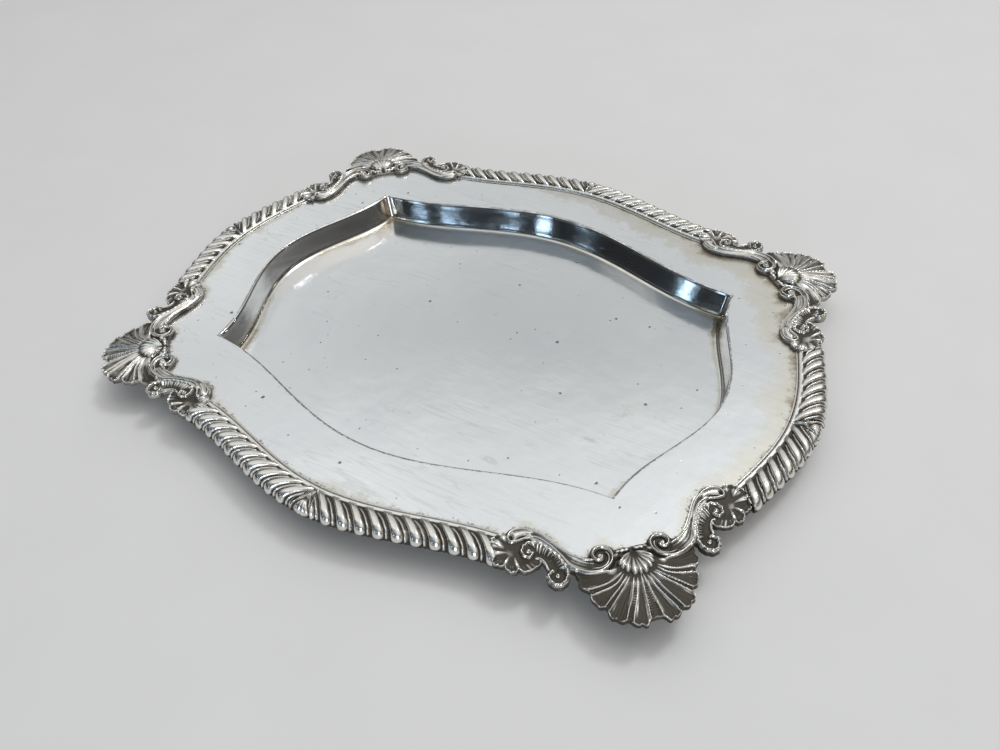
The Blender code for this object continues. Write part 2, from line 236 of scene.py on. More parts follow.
class Relief:
    """Half of a corner mount as heights above the flange on a square grid, and where metal is."""

    def __init__(self):
        self.along, self.out = np.meshgrid(ALONG_AXIS, OUT_AXIS, indexing="ij")
        self.height = np.full(self.along.shape, FIELD)
        self.cover = np.zeros(self.along.shape, bool)

    def nearest(self, line, margin):
        """The window of the grid round a line, with each point's distance and which sample is nearest."""
        low = line.min(0) - margin
        high = line.max(0) + margin
        window = (slice(*np.searchsorted(ALONG_AXIS, (low[0], high[0]))),
                  slice(*np.searchsorted(OUT_AXIS, (low[1], high[1]))))
        square = self.squares(window, line)
        return window, np.sqrt(square.min(-1)), square.argmin(-1)

    def squares(self, window, line):
        """The squared distance from each grid point in the window to each sample of the line."""
        return ((self.along[window][..., None] - line[:, 0]) ** 2
                + (self.out[window][..., None] - line[:, 1]) ** 2)

    def raise_to(self, window, height):
        self.height[window] = np.maximum(self.height[window], height)

    def raise_ridge(self, line, half_width, crest, foot, power=2.0, cover=False):
        """A rounded ridge that stands up to its crest from its foot, wherever that is above the rest."""
        half_width = np.broadcast_to(half_width, len(line))
        crest = np.broadcast_to(crest, len(line))
        window, distance, index = self.nearest(line, half_width.max())
        share = np.clip(distance / half_width[index], 0, 1)
        value = foot + (crest[index] - foot) * (1 - share**power) ** (1 / 1.3)
        self.raise_to(window, np.where(share < 1, value, -np.inf))
        if cover:
            self.cover[window] |= share < 1

    def add_ridge(self, line, half_width, rise):
        """Adds a narrow ridge, or a groove when rise is negative, to what is there."""
        rise = np.broadcast_to(rise, len(line))
        window, distance, index = self.nearest(line, half_width)
        self.height[window] += rise[index] * (1 - np.clip(distance / half_width, 0, 1)**2) ** 2

    def region(self, outline):
        return inside_loop(self.along, self.out, outline)

    def lay_patch(self, along, out, height, lift=False):
        """Lays a dense sheet of samples on the grid. It hides what lies under it, or only rises above it."""
        rows, columns = self.height.shape
        a = (along.ravel() - ALONG_AXIS[0]) / CELL
        o = (out.ravel() - OUT_AXIS[0]) / CELL
        total = np.zeros(self.height.size)
        weight = np.zeros(self.height.size)
        for row in (np.floor(a).astype(int), np.floor(a).astype(int) + 1):
            for column in (np.floor(o).astype(int), np.floor(o).astype(int) + 1):
                share = np.abs(1 - np.abs(a - row)) * np.abs(1 - np.abs(o - column))
                good = (row >= 0) & (row < rows) & (column >= 0) & (column < columns)
                index = (row * columns + column)[good]
                total += np.bincount(index, (share * height.ravel())[good], self.height.size)
                weight += np.bincount(index, share[good], self.height.size)
        total = total.reshape(rows, columns)
        weight = weight.reshape(rows, columns)
        inside = weight > 0.35 * np.median(weight[weight > 0])
        self.cover |= inside
        value = np.where(inside, total / np.maximum(weight, 1e-9), 0)
        if lift:
            inside = inside & (value > self.height)
        self.height = np.where(inside, value, self.height)


def fan_rays(rays, edges):
    """Samples between neighbouring rays: their places, the share across and the share along the ray.
    Each gap's edge is its own small outline, so that the fan has a scalloped rim."""
    far = np.linspace(0, 1, RAY_SAMPLES)[None, :]
    for ray, next_ray, edge in zip(rays, rays[1:], edges):
        first = resample(curve_through(ray), RAY_SAMPLES)
        second = resample(curve_through(next_ray), RAY_SAMPLES)
        widest = np.hypot(*(first[-1] - second[-1])) + 1.5
        count = max(6, int(widest / 0.07))
        rim = resample(np.array([first[-1], *edge, second[-1]]), count)
        across = np.linspace(0, 1, count)[:, None]
        place = first[None] * (1 - across[..., None]) + second[None] * across[..., None]
        place = place + (rim - place[:, -1])[:, None, :] * far[..., None] ** 4
        yield place[..., 0], place[..., 1], across, far


def fan_from(point, edge, count):
    """Samples on straight rays from a point to each sample of an edge, and their share along the ray."""
    far = np.linspace(0, 1, count)[None, :]
    return point[0] + (edge[:, :1] - point[0]) * far, point[1] + (edge[:, 1:] - point[1]) * far, far


def arch(share, power):
    """A hump over the shares 0 to 1: the smaller the power, the flatter its top."""
    return (4 * share * (1 - share)) ** power


BIG_SHELL_RAYS = [
    [(0, 9.0), (0, 14), (0, 20), (0, 25.3)],
    [(0.2, 9.0), (0.7, 14), (1.4, 20), (2.1, 25.5)],
    [(1.2, 9.8), (1.8, 11.8), (3.9, 17.6), (6.5, 22.6), (7.9, 25.6)],
    [(2.2, 9.2), (2.9, 11.2), (5.2, 16.8), (7.8, 21.2), (9.5, 24.2)],
    [(3.2, 9.2), (4.3, 10.9), (6.5, 13.2), (9.8, 16.2), (14.2, 20.1)],
    [(4.0, 8.8), (5.2, 10.6), (7.4, 12.6), (10.4, 15.0), (14.6, 18.2)],
    [(4.6, 7.9), (5.9, 9.4), (8.0, 11.2), (10.6, 12.4), (13.9, 12.9), (18.0, 13.3)],
    [(5.0, 7.0), (6.2, 8.5), (8.6, 10.0), (11.5, 11.0), (14.5, 11.3), (18.3, 11.2)],
    [(5.4, 5.4), (7.0, 6.0), (9.6, 6.6), (12.2, 6.6), (14.8, 6.4), (17.3, 5.7), (20.3, 4.0)],
]
BIG_SHELL_EDGES = [
    [(1.0, 25.5)],
    [(2.9, 26.3), (3.6, 27.6), (4.6, 27.2), (5.2, 26.4), (6.2, 26.9), (7.3, 26.3)],
    [(8.7, 24.2)],
    [(10.7, 24.6), (11.9, 23.9), (12.4, 22.9), (13.7, 22.6), (14.3, 21.5)],
    [(14.1, 18.9)],
    [(16.6, 17.9), (17.0, 16.4), (18.1, 14.8)],
    [(17.7, 12.1)],
    [(20.0, 10.0), (20.6, 8.4), (19.8, 6.7), (20.5, 5.2)],
]
BIG_SHELL_DOME = [(0.0, 2.4), (0.3, 2.75), (0.6, 2.5), (0.85, 1.95), (1.0, 1.45)]
BROAD_FLUTES = (1, 3, 5, 7)
FLUTE_STREAKS = (0.20, 0.35, 0.51, 0.66, 0.81)
BEAD_ROW_LENGTH = 16.0
BEAD_PITCH = 0.85


def lay_big_shell(relief):
    """Broad hollow flutes with fine streaks alternate with narrow ones that hold a row of beads."""
    dome = curve_through(BIG_SHELL_DOME, 0.01)
    edge_line = []
    for number, (along, out, across, far) in enumerate(fan_rays(BIG_SHELL_RAYS, BIG_SHELL_EDGES)):
        height = np.interp(far, dome[:, 0], dome[:, 1])
        if number in BROAD_FLUTES:
            growth = smoothstep(far, 0.05, 0.5)
            height = height - growth * arch(across, 0.55)
            for side in FLUTE_STREAKS:
                rise = 0.24 + 0.12 * np.sin(9 * far + 23 * side + 2 * number)
                height = height + rise * growth * ridge(across - side, 0.05)
        else:
            bead = np.cos(2 * np.pi * far * BEAD_ROW_LENGTH / BEAD_PITCH)
            beaded = 0.42 * bead * ridge(across - 0.5, 0.2) * smoothstep(far, 0.25, 0.4)
            height = height - 0.72 * smoothstep(far, 0.1, 0.4) + beaded
        relief.lay_patch(along, out, height)
        edge_line.append(np.column_stack([along[:, -1], out[:, -1]]))
    for ray in BIG_SHELL_RAYS[1:8]:
        line = curve_through(ray)
        relief.add_ridge(line, 0.36, 0.62 * smoothstep(np.linspace(0, 1, len(line)), 0.0, 0.2))
    relief.add_ridge(equal_steps(np.vstack(edge_line), LINE_STEP), 0.7, 0.5)
    relief.add_ridge(curve_through(BIG_SHELL_RAYS[8])[40:], 0.7, 0.4)


HEEL_HINGE = (0.0, 1.2)
HEEL_EDGE = [(0, 10.5), (2.2, 10.0), (4.2, 8.6), (5.6, 6.6), (5.8, 4.8), (4.8, 3.6), (3.2, 2.7)]
HEEL_RIBS = 5.5
HEEL_DOME = [(0.0, 1.6), (0.15, 2.3), (0.3, 2.9), (0.5, 3.55), (0.75, 3.9), (0.92, 3.6), (1.0, 3.1)]


def lay_heel_shell(relief):
    """A small shell over the heel of the big one: its ribs fan from a hinge beside the flange."""
    edge = resample(curve_through(HEEL_EDGE), 260)
    share = np.linspace(0, 1, 260)[:, None]
    uneven = share + 0.022 * np.sin(11 * share + 0.6)
    rib = np.abs(np.cos(np.pi * HEEL_RIBS * uneven))
    edge = edge + unit(edge - HEEL_HINGE) * 0.35 * rib
    along, out, far = fan_from(HEEL_HINGE, edge, 170)
    dome = curve_through(HEEL_DOME, 0.01)
    furrow = 1.15 * (1 - rib**0.5) * smoothstep(far, 0.2, 0.55)
    relief.lay_patch(along, out, np.interp(far, dome[:, 0], dome[:, 1]) - furrow, lift=True)


OUTER_SCROLL = [(32.3, -12.8), (30.2, -12.2), (28.5, -11.0), (27.0, -9.2), (25.6, -7.2), (24.4, -5.0),
                (23.3, -2.9), (22.5, -0.8), (21.8, 1.2), (20.7, 2.6), (18.8, 4.0), (16.8, 5.2),
                (14.5, 5.9), (12.2, 6.0), (10.2, 5.4), (8.3, 4.1), (7.1, 2.3), (6.8, 0.4), (7.5, -1.5),
                (9.2, -2.7), (11.3, -2.6), (12.7, -1.5), (13.1, 0.1), (12.5, 1.4), (11.4, 1.9),
                (10.4, 1.5), (10.1, 0.6)]
OUTER_SCROLL_INNER = [(17.0, 3.6), (14.0, 4.5), (11.7, 4.7), (9.9, 4.1), (8.5, 2.7), (8.0, 0.7), (8.6, -0.8)]
INNER_SCROLL = [(13.9, 1.3), (15.0, 0.8), (16.6, 0.2), (19.1, -1.5), (21.2, -3.4), (23.3, -6.2), (24.8, -8.4),
                (26.2, -10.6), (27.8, -12.7), (29.6, -14.3), (31.6, -15.8), (33.9, -16.8), (36.0, -16.9),
                (37.8, -16.1), (38.8, -14.6), (38.8, -13.2), (38.0, -12.4), (37.0, -12.7)]
BULB_RIDGE = [(32.3, -12.8), (34.4, -12.5), (36.3, -12.2), (37.8, -12.3)]
FLANGE_SIDE = [(0, -0.9), (3.0, -0.9), (5.2, -0.9), (6.3, -1.5), (7.4, -2.8), (9.1, -3.6), (11.4, -3.5),
               (13.2, -2.5), (14.2, -0.9), (15.2, -0.4), (16.5, -0.6), (18.8, -2.2), (20.7, -4.1),
               (22.7, -6.8), (24.2, -9.1), (25.6, -11.2), (27.3, -13.4), (29.2, -15.1), (31.4, -16.6),
               (33.8, -17.6), (36.2, -17.7), (38.4, -16.9), (39.6, -15.2), (40.0, -13.0)]
NOTCH_SIDE = [(38.0, -6.0), (32.0, -4.0), (30.4, -4.0), (29.3, -2.7), (28.5, -0.9), (28.2, 1.4), (26.5, 4.5),
              (23.5, 4.0), (22.4, 2.4), (21.0, 3.4), (19.5, 4.6), (16.0, 7.0), (6.0, 9.0), (0, 9.0)]
BULB = [(31.2, -14.0), (33.2, -14.7), (35.2, -14.8), (36.4, -14.6)]
VOLUTE_EYE = [(10.9, 0.4), (11.1, 0.4)]
BULB_DENT = [(37.5, -14.0), (37.6, -14.1)]
# Buds between the volutes and the heel shell: along, out and size
HEEL_BUDS = ((1.4, 0.1, 0.8), (3.0, 0.2, 1.0), (4.6, 0.1, 0.7), (5.4, 1.5, 1.1), (3.9, 1.9, 0.7))


def lay_scroll_channel(relief, outer, inner):
    """The hollow moulding between the S-scroll's two lines, with fine lines that run along it."""
    arm = outer[int(0.04 * len(outer)):int(0.50 * len(outer))]
    window, from_outer, _ = relief.nearest(arm, 6.0)
    from_inner = np.sqrt(relief.squares(window, inner).min(-1))
    share = from_outer / (from_outer + from_inner + 1e-6)
    spread = from_outer + from_inner
    fade = (1 - smoothstep(spread, 4.6, 6.4)) * (1 - smoothstep(from_outer, 3.4, 4.4))
    moulding = 2.4 - 0.5 * np.sin(np.pi * share) + 0.12 * np.cos(2 * np.pi * 4 * share)
    moulding = HOLLOW_FLOOR + (moulding - HOLLOW_FLOOR) * fade
    relief.raise_to(window, np.where(fade > 0, moulding, -np.inf))


def lay_scrolls(relief):
    """The S-scroll's body, and its lines, bulb, volute and buds as ridges: crest, foot and power of each."""
    body = relief.region([*curve_through(FLANGE_SIDE, 0.5), *NOTCH_SIDE])
    relief.raise_to(body, BODY)
    relief.cover |= body
    outer = curve_through(OUTER_SCROLL)
    inner = curve_through(INNER_SCROLL)
    inside = curve_through(OUTER_SCROLL_INNER)
    bulb = curve_through(BULB)
    run = np.linspace(0, 1, len(outer))
    begun = smoothstep(np.linspace(0, 1, len(inside)), 0.0, 0.3)
    lay_scroll_channel(relief, outer, inner)
    ridges = [
        (outer, 1.0 + 0.2 * (1 - smoothstep(run, 0.4, 0.6)), 2.5, HOLLOW_FLOOR, 1.5),
        (inner, 0.9, 2.2, HOLLOW_FLOOR, 1.5),
        (outer, 0.42, 2.6 + 0.6 * smoothstep(run, 0.3, 0.55), 1.9, 2.0),
        (inner, 0.42, 2.65, 1.8, 2.0),
        (inside, 0.28, 1.6 + begun, 1.6, 2.0),
        (curve_through(VOLUTE_EYE), 0.75, 3.1, 1.6, 2.0),
        (bulb, np.linspace(1.0, 1.7, len(bulb)), 2.9, 1.6, 2.0),
        (curve_through(BULB_RIDGE), 0.45, 2.7, 1.7, 2.0),
    ]
    for along, out, size in HEEL_BUDS:
        bud = curve_through([(along, out), (along + 0.5, out + 0.3)])
        ridges.append((bud, size, 2.1 + 0.5 * size, 1.8, 2.0))
    for line, half_width, crest, foot, power in ridges:
        relief.raise_ridge(line, half_width, crest, foot, power)
    relief.add_ridge(curve_through(BULB_DENT), 0.6, -0.9)


C_RIDGE = [(27.2, 2.2), (28.6, 2.6), (29.3, 4.0), (28.5, 6.3), (26.9, 7.5), (24.9, 7.0), (23.5, 5.5),
           (22.8, 3.0), (23.2, 1.0), (23.9, -0.9), (24.3, -2.6), (25.3, -4.1), (26.3, -5.7), (27.4, -7.3),
           (28.6, -8.9), (30.0, -10.0), (31.8, -10.6), (33.5, -10.3), (35.0, -9.1), (35.6, -7.6),
           (35.2, -6.0), (34.0, -5.1), (32.6, -5.4), (32.2, -6.5)]
C_BAND = [(22.9, 3.5), (23.4, 0.5), (24.3, -2.6), (26.3, -5.7), (28.6, -8.9), (31.8, -10.4), (35.4, -8.2),
          (35.2, -5.8), (32.2, -3.9), (30.5, -4.0), (29.3, -2.6), (28.5, -0.8), (28.3, 1.6), (26.4, 3.5)]
C_CENTRE = (33.5, 1.5)
FLUTE_ANGLE = math.radians(7.2)
OUTER_EYE = (26.3, 4.4)
INNER_EYE = (33.4, -7.4)
RUFFLE_PITCH = 2.0
C_INNER_EDGE = [(31.6, -4.1), (30.5, -3.9), (29.5, -2.8), (28.8, -0.9), (28.6, 1.3)]


def polar(relief, centre):
    """Each grid point's distance and direction from a centre."""
    along = relief.along - centre[0]
    out = relief.out - centre[1]
    return np.hypot(along, out), np.arctan2(out, along)


def lay_c_scroll(relief):
    """A fluted band with a ruffled outer edge that curls round an eye at each end."""
    band = relief.region(C_BAND)
    away, turn = polar(relief, C_CENTRE)
    flutes = np.cos(turn * 2 * np.pi / FLUTE_ANGLE + 1.4 * np.sin(9 * turn) + 0.8 * np.sin(23 * turn))
    strength = 0.55 * (0.7 + 0.3 * np.sin(31 * turn + 1.0)) * smoothstep(away, 6.4, 8.6)
    height = 1.1 + 0.95 * smoothstep(away, 6.8, 10.4) + strength * flutes
    relief.height = np.where(band, height, relief.height)
    relief.cover |= band
    relief.raise_ridge(curve_through([(26.0, 4.2), (26.6, 4.2)]), 3.6, 1.35, HOLLOW_FLOOR, 8, cover=True)
    away, turn = polar(relief, OUTER_EYE)
    eye_flutes = HOLLOW_FLOOR + 0.3 * np.cos(13 * turn) * smoothstep(away, 1.2, 2.2)
    relief.height = np.where(away < 3.0, eye_flutes, relief.height)
    relief.height[polar(relief, INNER_EYE)[0] < 2.5] = 1.5
    line = curve_through(C_RIDGE)
    ruffle = np.sin(np.arange(len(line)) * LINE_STEP * 2 * np.pi / RUFFLE_PITCH)
    wavy = line - left_of(np.gradient(line, axis=0)) * (0.16 * ruffle)[:, None]
    for line, half_width, crest, foot, power in (
            (curve_through(C_INNER_EDGE), 0.45, 2.2, 1.2, 2.0),
            (wavy, 0.7, 2.2, HOLLOW_FLOOR, 1.6),
            (wavy, 0.42 + 0.06 * ruffle, 2.7 + 0.12 * ruffle, 1.9, 2.0),
            (curve_through([(26.2, 4.2), (26.3, 4.1)]), 0.95, 2.8, 1.2, 2.0),
            (curve_through([(33.2, -7.3), (33.4, -7.2)]), 0.85, 2.9, 1.6, 2.0)):
        relief.raise_ridge(line, half_width, crest, foot, power, cover=True)


SMALL_SHELL_FOCUS = (38.7, -9.3)
SMALL_SHELL_RISE = ((0, 0.35, 0.75, 1.0), (1.1, 1.25, 1.9, 1.5))
TEETH_A_LOBE = 3
DEEP_LOBES = 3
# Streaks in a deep lobe: the share across and how far each stands up
LOBE_STREAKS = ((0.22, 0.15), (0.38, 0.4), (0.54, 0.4), (0.72, 0.2))
SMALL_SHELL_LOBES = [
    [(30.6, -4.2), (30.8, -2.6), (31.6, -1.5), (33.3, -1.3), (35.3, -0.5), (36.9, -1.1), (38.1, -2.2)],
    [(38.1, -2.2), (39.2, -1.3), (40.6, -1.8), (41.7, -2.9), (42.1, -4.5)],
    [(42.1, -4.5), (43.6, -4.8), (45.1, -5.8), (45.8, -7.6), (45.2, -9.3)],
    [(45.2, -9.3), (46.3, -10.9), (46.0, -12.8), (44.6, -14.2)],
    [(44.6, -14.2), (43.5, -15.6), (41.6, -16.4), (39.6, -16.8)],
]


def lay_small_shell(relief):
    """Toothed lobes that rise from a dark heart, with a pair of fine rays at each notch between them."""
    focus = np.array(SMALL_SHELL_FOCUS)
    share = np.linspace(0, 1, 130)[:, None]
    teeth = np.abs(np.sin(np.pi * TEETH_A_LOBE * share)) ** 0.8
    tooth = 0.62 * teeth * arch(share, 0.4)
    hollow = arch(share, 0.7)
    for number, lobe in enumerate(SMALL_SHELL_LOBES):
        edge = resample(curve_through(lobe), len(share))
        edge = edge + unit(edge - focus) * tooth
        along, out, far = fan_from(focus, edge, len(share))
        height = np.interp(far, *SMALL_SHELL_RISE)
        growth = smoothstep(far, 0.2, 0.7)
        if number < DEEP_LOBES:
            height = height - 0.8 * hollow * growth
            for place, rise in LOBE_STREAKS:
                height = height + rise * smoothstep(far, 0.35, 0.6) * ridge(share - place, 0.05)
        else:
            height = height - 0.45 * growth * hollow * np.abs(np.cos(2 * np.pi * share)) + 0.25 * growth
        relief.lay_patch(along, out, height)
        relief.add_ridge(edge, 0.6, 0.6)
    for lobe in SMALL_SHELL_LOBES[:-1]:
        reach = np.array(lobe[-1]) - focus
        for shift in (-0.35, 0.35):
            side = unit(np.array((-reach[1], reach[0]))) * shift
            line = curve_through([focus + reach * 0.35 + side * 0.6, focus + reach + side])
            relief.add_ridge(line, 0.36, 0.62 * smoothstep(np.linspace(0, 1, len(line)), 0.0, 0.45))


def blur(field, radius):
    """Three box blurs, which come close to a Gaussian of this radius (in grid cells)."""
    for _ in range(3):
        for axis in (0, 1):
            size = field.shape[axis]
            first = np.repeat(np.take(field, [0], axis), radius + 1, axis)
            last = np.repeat(np.take(field, [-1], axis), radius, axis)
            total = np.cumsum(np.concatenate([first, field, last], axis), axis)
            width = 2 * radius + 1
            upper = np.take(total, range(width, width + size), axis)
            field = (upper - np.take(total, range(size), axis)) / width
    return field


def highest_near(field, radius):
    """The highest value within a square of this half width (in grid cells)."""
    for axis in (0, 1):
        low = high = field
        for _ in range(radius):
            before = np.concatenate([np.take(low, [0], axis), np.delete(low, -1, axis)], axis)
            after = np.concatenate([np.delete(high, 0, axis), np.take(high, [-1], axis)], axis)
            low = np.maximum(low, before)
            high = np.maximum(high, after)
        field = np.maximum(low, high)
    return field


def mount_relief():
    relief = Relief()
    lay_small_shell(relief)
    lay_scrolls(relief)
    lay_c_scroll(relief)
    lay_big_shell(relief)
    arm = curve_through(OUTER_SCROLL)
    relief.raise_ridge(arm[:int(0.6 * len(arm))], 0.42, 2.9, 1.9)
    lay_heel_shell(relief)
    return relief


def mirror_half(field):
    return np.concatenate([field[:0:-1], field], axis=0)


def cleanness(surface, height):
    """How far each point stands clear of what is round it: oxide stays where this is low."""
    local = 0.5 + (height - blur(surface, 5)) / 1.1
    sheltered = 1 - (blur(highest_near(surface, 12), 4) - height) / 1.3
    return np.clip(0.5 * local + 0.5 * sheltered, 0, 1)


def solid_cells(metal):
    """Grid squares that touch metal, with more added where two would meet at one corner only."""
    cells = metal[:-1, :-1] | metal[1:, :-1] | metal[:-1, 1:] | metal[1:, 1:]
    for _ in range(4):
        a, b, c, d = cells[:-1, :-1], cells[1:, :-1], cells[:-1, 1:], cells[1:, 1:]
        rows, columns = np.nonzero((a & d & ~b & ~c) | (b & c & ~a & ~d))
        cells[rows, columns] = True
        cells[rows + 1, columns] = True
    return cells


def mount_arrays():
    """A whole mount's grid: places, heights and cleanness, the covered squares and the points they use."""
    half = mount_relief()
    height = mirror_half(half.height)
    cover = mirror_half(half.cover).astype(float)
    along, out = np.meshgrid(np.concatenate([-ALONG_AXIS[:0:-1], ALONG_AXIS]), OUT_AXIS, indexing="ij")
    soft = blur(cover, 1)
    metal = soft > 0.5
    filled = blur(height * cover, 2) / np.maximum(blur(cover, 2), 1e-3)
    height = np.where(cover > 0, height, filled)
    height = 0.35 * blur(height, 1) + 0.65 * height
    clean_and_unshaded = cleanness(np.where(metal, height, filled), height)
    cells = solid_cells(metal)
    used = np.zeros(metal.shape, bool)
    for rows in (slice(None, -1), slice(1, None)):
        for columns in (slice(None, -1), slice(1, None)):
            used[rows, columns] |= cells

    # Points just outside the metal move in to its smooth edge
    slope_a, slope_o = np.gradient(soft, CELL)
    steep = np.maximum(np.hypot(slope_a, slope_o), 0.5)
    move = np.clip((0.5 - soft) / steep, -CELL * 0.9, CELL * 0.9) * (used & ~metal) / steep
    return along + move * slope_a, out + move * slope_o, height, clean_and_unshaded, cells, used


def edge_pairs(cells, index):
    """Pairs of neighbouring points along the edge of the covered squares, with metal on their left."""
    padded = np.pad(cells, 1)
    here = padded[1:-1, 1:-1]
    pairs = []
    for rows, columns, start, end in ((-1, 0, (0, 0), (0, 1)), (1, 0, (1, 1), (1, 0)),
                                      (0, -1, (1, 0), (0, 0)), (0, 1, (0, 1), (1, 1))):
        beyond = np.roll(padded, (-rows, -columns), (0, 1))[1:-1, 1:-1]
        row, column = np.nonzero(here & ~beyond)
        pairs.append(np.column_stack([index[row + start[0], column + start[1]],
                                      index[row + end[0], column + end[1]]]))
    return np.vstack(pairs)


def over_flange(along, out):
    """Roughly, whether a mount's point lies over the flange: its lobe, its waist or its neck."""
    along = np.abs(along)
    lobe = LOBE_RADIUS - np.hypot(out - LOBE_CENTRE, along)
    neck = np.minimum(-(out + 8.0) + 0.6 * (34 - along), 44.0 - along)
    return np.maximum(lobe, np.where(along < 21, 3.5 - np.abs(out + 4), neck)) > 0


def mount_skin():
    """A mount as one closed surface: points (along, out, up), faces and cleanness, with painted shade under
    it and on its side wall.
    """
    along, out, height, clean_and_unshaded, cells, used = mount_arrays()
    count = used.sum()
    index = np.full(used.shape, -1)
    index[used] = np.arange(count)
    top_faces = np.column_stack([index[:-1, :-1][cells], index[1:, :-1][cells],
                                 index[1:, 1:][cells], index[:-1, 1:][cells]])
    top = np.column_stack([along[used], out[used], height[used]])
    bottom = np.where(over_flange(top[:, 0], top[:, 1]), ON_FLANGE, BESIDE_FLANGE)
    under = np.column_stack([top[:, :2], np.minimum(bottom, top[:, 2] - THINNEST)])
    points = [top, under]
    faces = [top_faces, top_faces[:, ::-1] + count]

    # The side wall joins both skins through rings of points of its own
    walls = edge_pairs(cells, index)
    ring = np.unique(walls)
    levels = [np.arange(count)]
    for level in range(1, WALL_BANDS):
        share = level / WALL_BANDS
        points.append(top[ring] * (1 - share) + under[ring] * share)
        numbers = np.full(count, -1)
        numbers[ring] = 2 * count + (level - 1) * len(ring) + np.arange(len(ring))
        levels.append(numbers)
    levels.append(np.arange(count) + count)
    for upper, lower in zip(levels, levels[1:]):
        faces.append(np.column_stack([upper[walls], lower[walls[:, ::-1]]]))
    side_count = (WALL_BANDS - 1) * len(ring)
    # The underside and the side wall get low constants: oxide and painted shade under the mount and round its
    # edge
    clean_and_unshaded = np.concatenate([clean_and_unshaded[used], np.full(count, 0.25), np.full(side_count, 0.3)])
    return np.vstack(points), np.vstack(faces), clean_and_unshaded


def build_corner_mounts(material):
    points, faces, clean_and_unshaded = mount_skin()
    master = closed_object("corner_mount", points[:, [1, 0, 2]], faces, {"relief": clean_and_unshaded}, material)
    for name, (side_x, side_y) in CORNERS.items():
        mount = link(bpy.data.objects.new("mount_" + name, master.data.copy()))
        angle = side_x * side_y * MITRE_ANGLE + (math.pi if side_x < 0 else 0)
        place = Matrix.Translation((side_x * MOUNT_X * MM, side_y * MOUNT_Y * MM, FLANGE_TOP * MM))
        mount.data.transform(place @ Matrix.Rotation(angle, 4, "Z"))
        finish_piece(mount, "struck_silver", "corner_mount_" + name)
    bpy.data.objects.remove(master)


def finish_piece(piece, slot, *nodes):
    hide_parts(*nodes)
    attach(piece, "root")


# ---------------------------------------------------------------- gadroon strips and leaves

STRIP_CROWN = [(-0.95, 0.04), (-0.9, 0.35), (-0.65, 0.5), (-0.35, 0.42), (-0.1, 0.18), (0.1, 0.18),
               (0.25, 0.65), (0.5, 0.95), (0.85, 1.0), (1.2, 0.95), (1.5, 1.15), (2.1, 1.7), (3.0, 2.2),
               (4.3, 2.6), (5.8, 2.8), (7.3, 2.85), (8.4, 2.82), (9.3, 2.72), (10.1, 2.42), (10.9, 1.95),
               (11.5, 1.3), (12.1, 0.3), (12.3, -1.0), (12.2, -1.9), (11.8, -2.6), (11.4, -2.85)]
STRIP_UNDER = [(11.0, -2.6), (10.9, -1.6), (10.2, -0.2), (8.8, 0.9), (6.5, 1.35), (4.0, 1.1), (2.6, 0.3),
               (2.0, 0.05)]
CROWN = curve_through(STRIP_CROWN, 0.22)
CROWN_NORMAL = left_of(np.gradient(CROWN, axis=0))
CROWN_RUN = run_along(CROWN)
UNDER = curve_through(STRIP_UNDER, 0.7)
STATION_PITCH = 0.2
LEAF_STATIONS = 81
LEAF_TIP_HALF_WIDTH = 0.35
LEAF_SPREAD = 0.36
LEAF_GAP = 0.03
# Fine lines in the pocket beside a lobe: the share of the pitch and how far each stands up
POCKET_LINES = ((0.635, 0.22), (0.87, 0.24), (0.92, 0.16), (0.965, 0.12))


def band_edge(band, along):
    return band["base"] + band["swell"] * swell(along, band["period"])


def corner_point(along, out):
    """A point of the back right mount's frame on the dish."""
    c = math.cos(MITRE_ANGLE)
    s = math.sin(MITRE_ANGLE)
    return MOUNT_X + out * c - along * s, MOUNT_Y + out * s + along * c


def shell_beside(band):
    """The small shell's outline beside a strip's end, as how far across and how far along the side."""
    outline = np.vstack([curve_through(lobe, 0.3) for lobe in SMALL_SHELL_LOBES[1:]])
    if band is LONG_BAND:
        along, across = corner_point(outline[:, 0], outline[:, 1])
    else:
        across, along = corner_point(-outline[:, 0], outline[:, 1])
    return across, along


def strip_end(band, out):
    """How far along its side a strip reaches: its end is cut to run just under the small shell's edge."""
    shell_across, shell_along = shell_beside(band)
    along = np.full(out.shape, band["end"])
    for _ in range(4):
        across = band_edge(band, along) + out * (1 - BAND_TAPER)
        apart = np.abs(across[:, None] - shell_across)
        near = apart < np.maximum(apart.min(1), 0.5)[:, None]
        along = np.where(near, shell_along, np.inf).min(1) + SHELL_OVERLAP
    knobs = smoothstep(out, 6.5, 9.0)
    return along * (1 - knobs) + band["knob_end"] * knobs


def lobe_form(phase, out):
    """How far the crown stands up at this phase of the gadroon: 1 on a lobe and 0 in a gap.
    Away from mid-side come a flat-topped lobe that ends in a knob, a thin reed that leaves the lobe's
    side at the fillet, and a deep pocket with a few fine lines."""
    phase = phase % 1
    from_lobe = np.abs(np.where(phase > 0.82, phase - 1, phase) - 0.30)
    opening = smoothstep(out, 2.0, 5.5)
    knob = smoothstep(out, 7.5, 10.0)
    share = np.clip(from_lobe / (0.25 + 0.035 * opening + 0.035 * knob), 0, 1)
    lobe = (1 - share**(4.2 - 1.9 * knob)) ** 0.6
    from_reed = np.abs(phase - 0.68 - 0.09 * opening)
    side_forms = 0.66 * np.sqrt(1 - np.clip(from_reed / 0.075, 0, 1) ** 2)
    lines = 0.0
    for place, rise in POCKET_LINES:
        lines = lines + rise * ridge(phase - place, 0.013)
    return np.maximum(lobe, np.maximum(side_forms, lines) * smoothstep(out, 1.8, 3.2))


def crown_sink(form):
    """How deep the gaps between forms sink below the crown along the section."""
    from_end = smoothstep(CROWN_RUN, CROWN_RUN[-1] - 2.2, CROWN_RUN[-1])
    return 1.35 * smoothstep(CROWN_RUN, 3.0, 4.4) * (1 - 0.75 * from_end) * (1 - form)


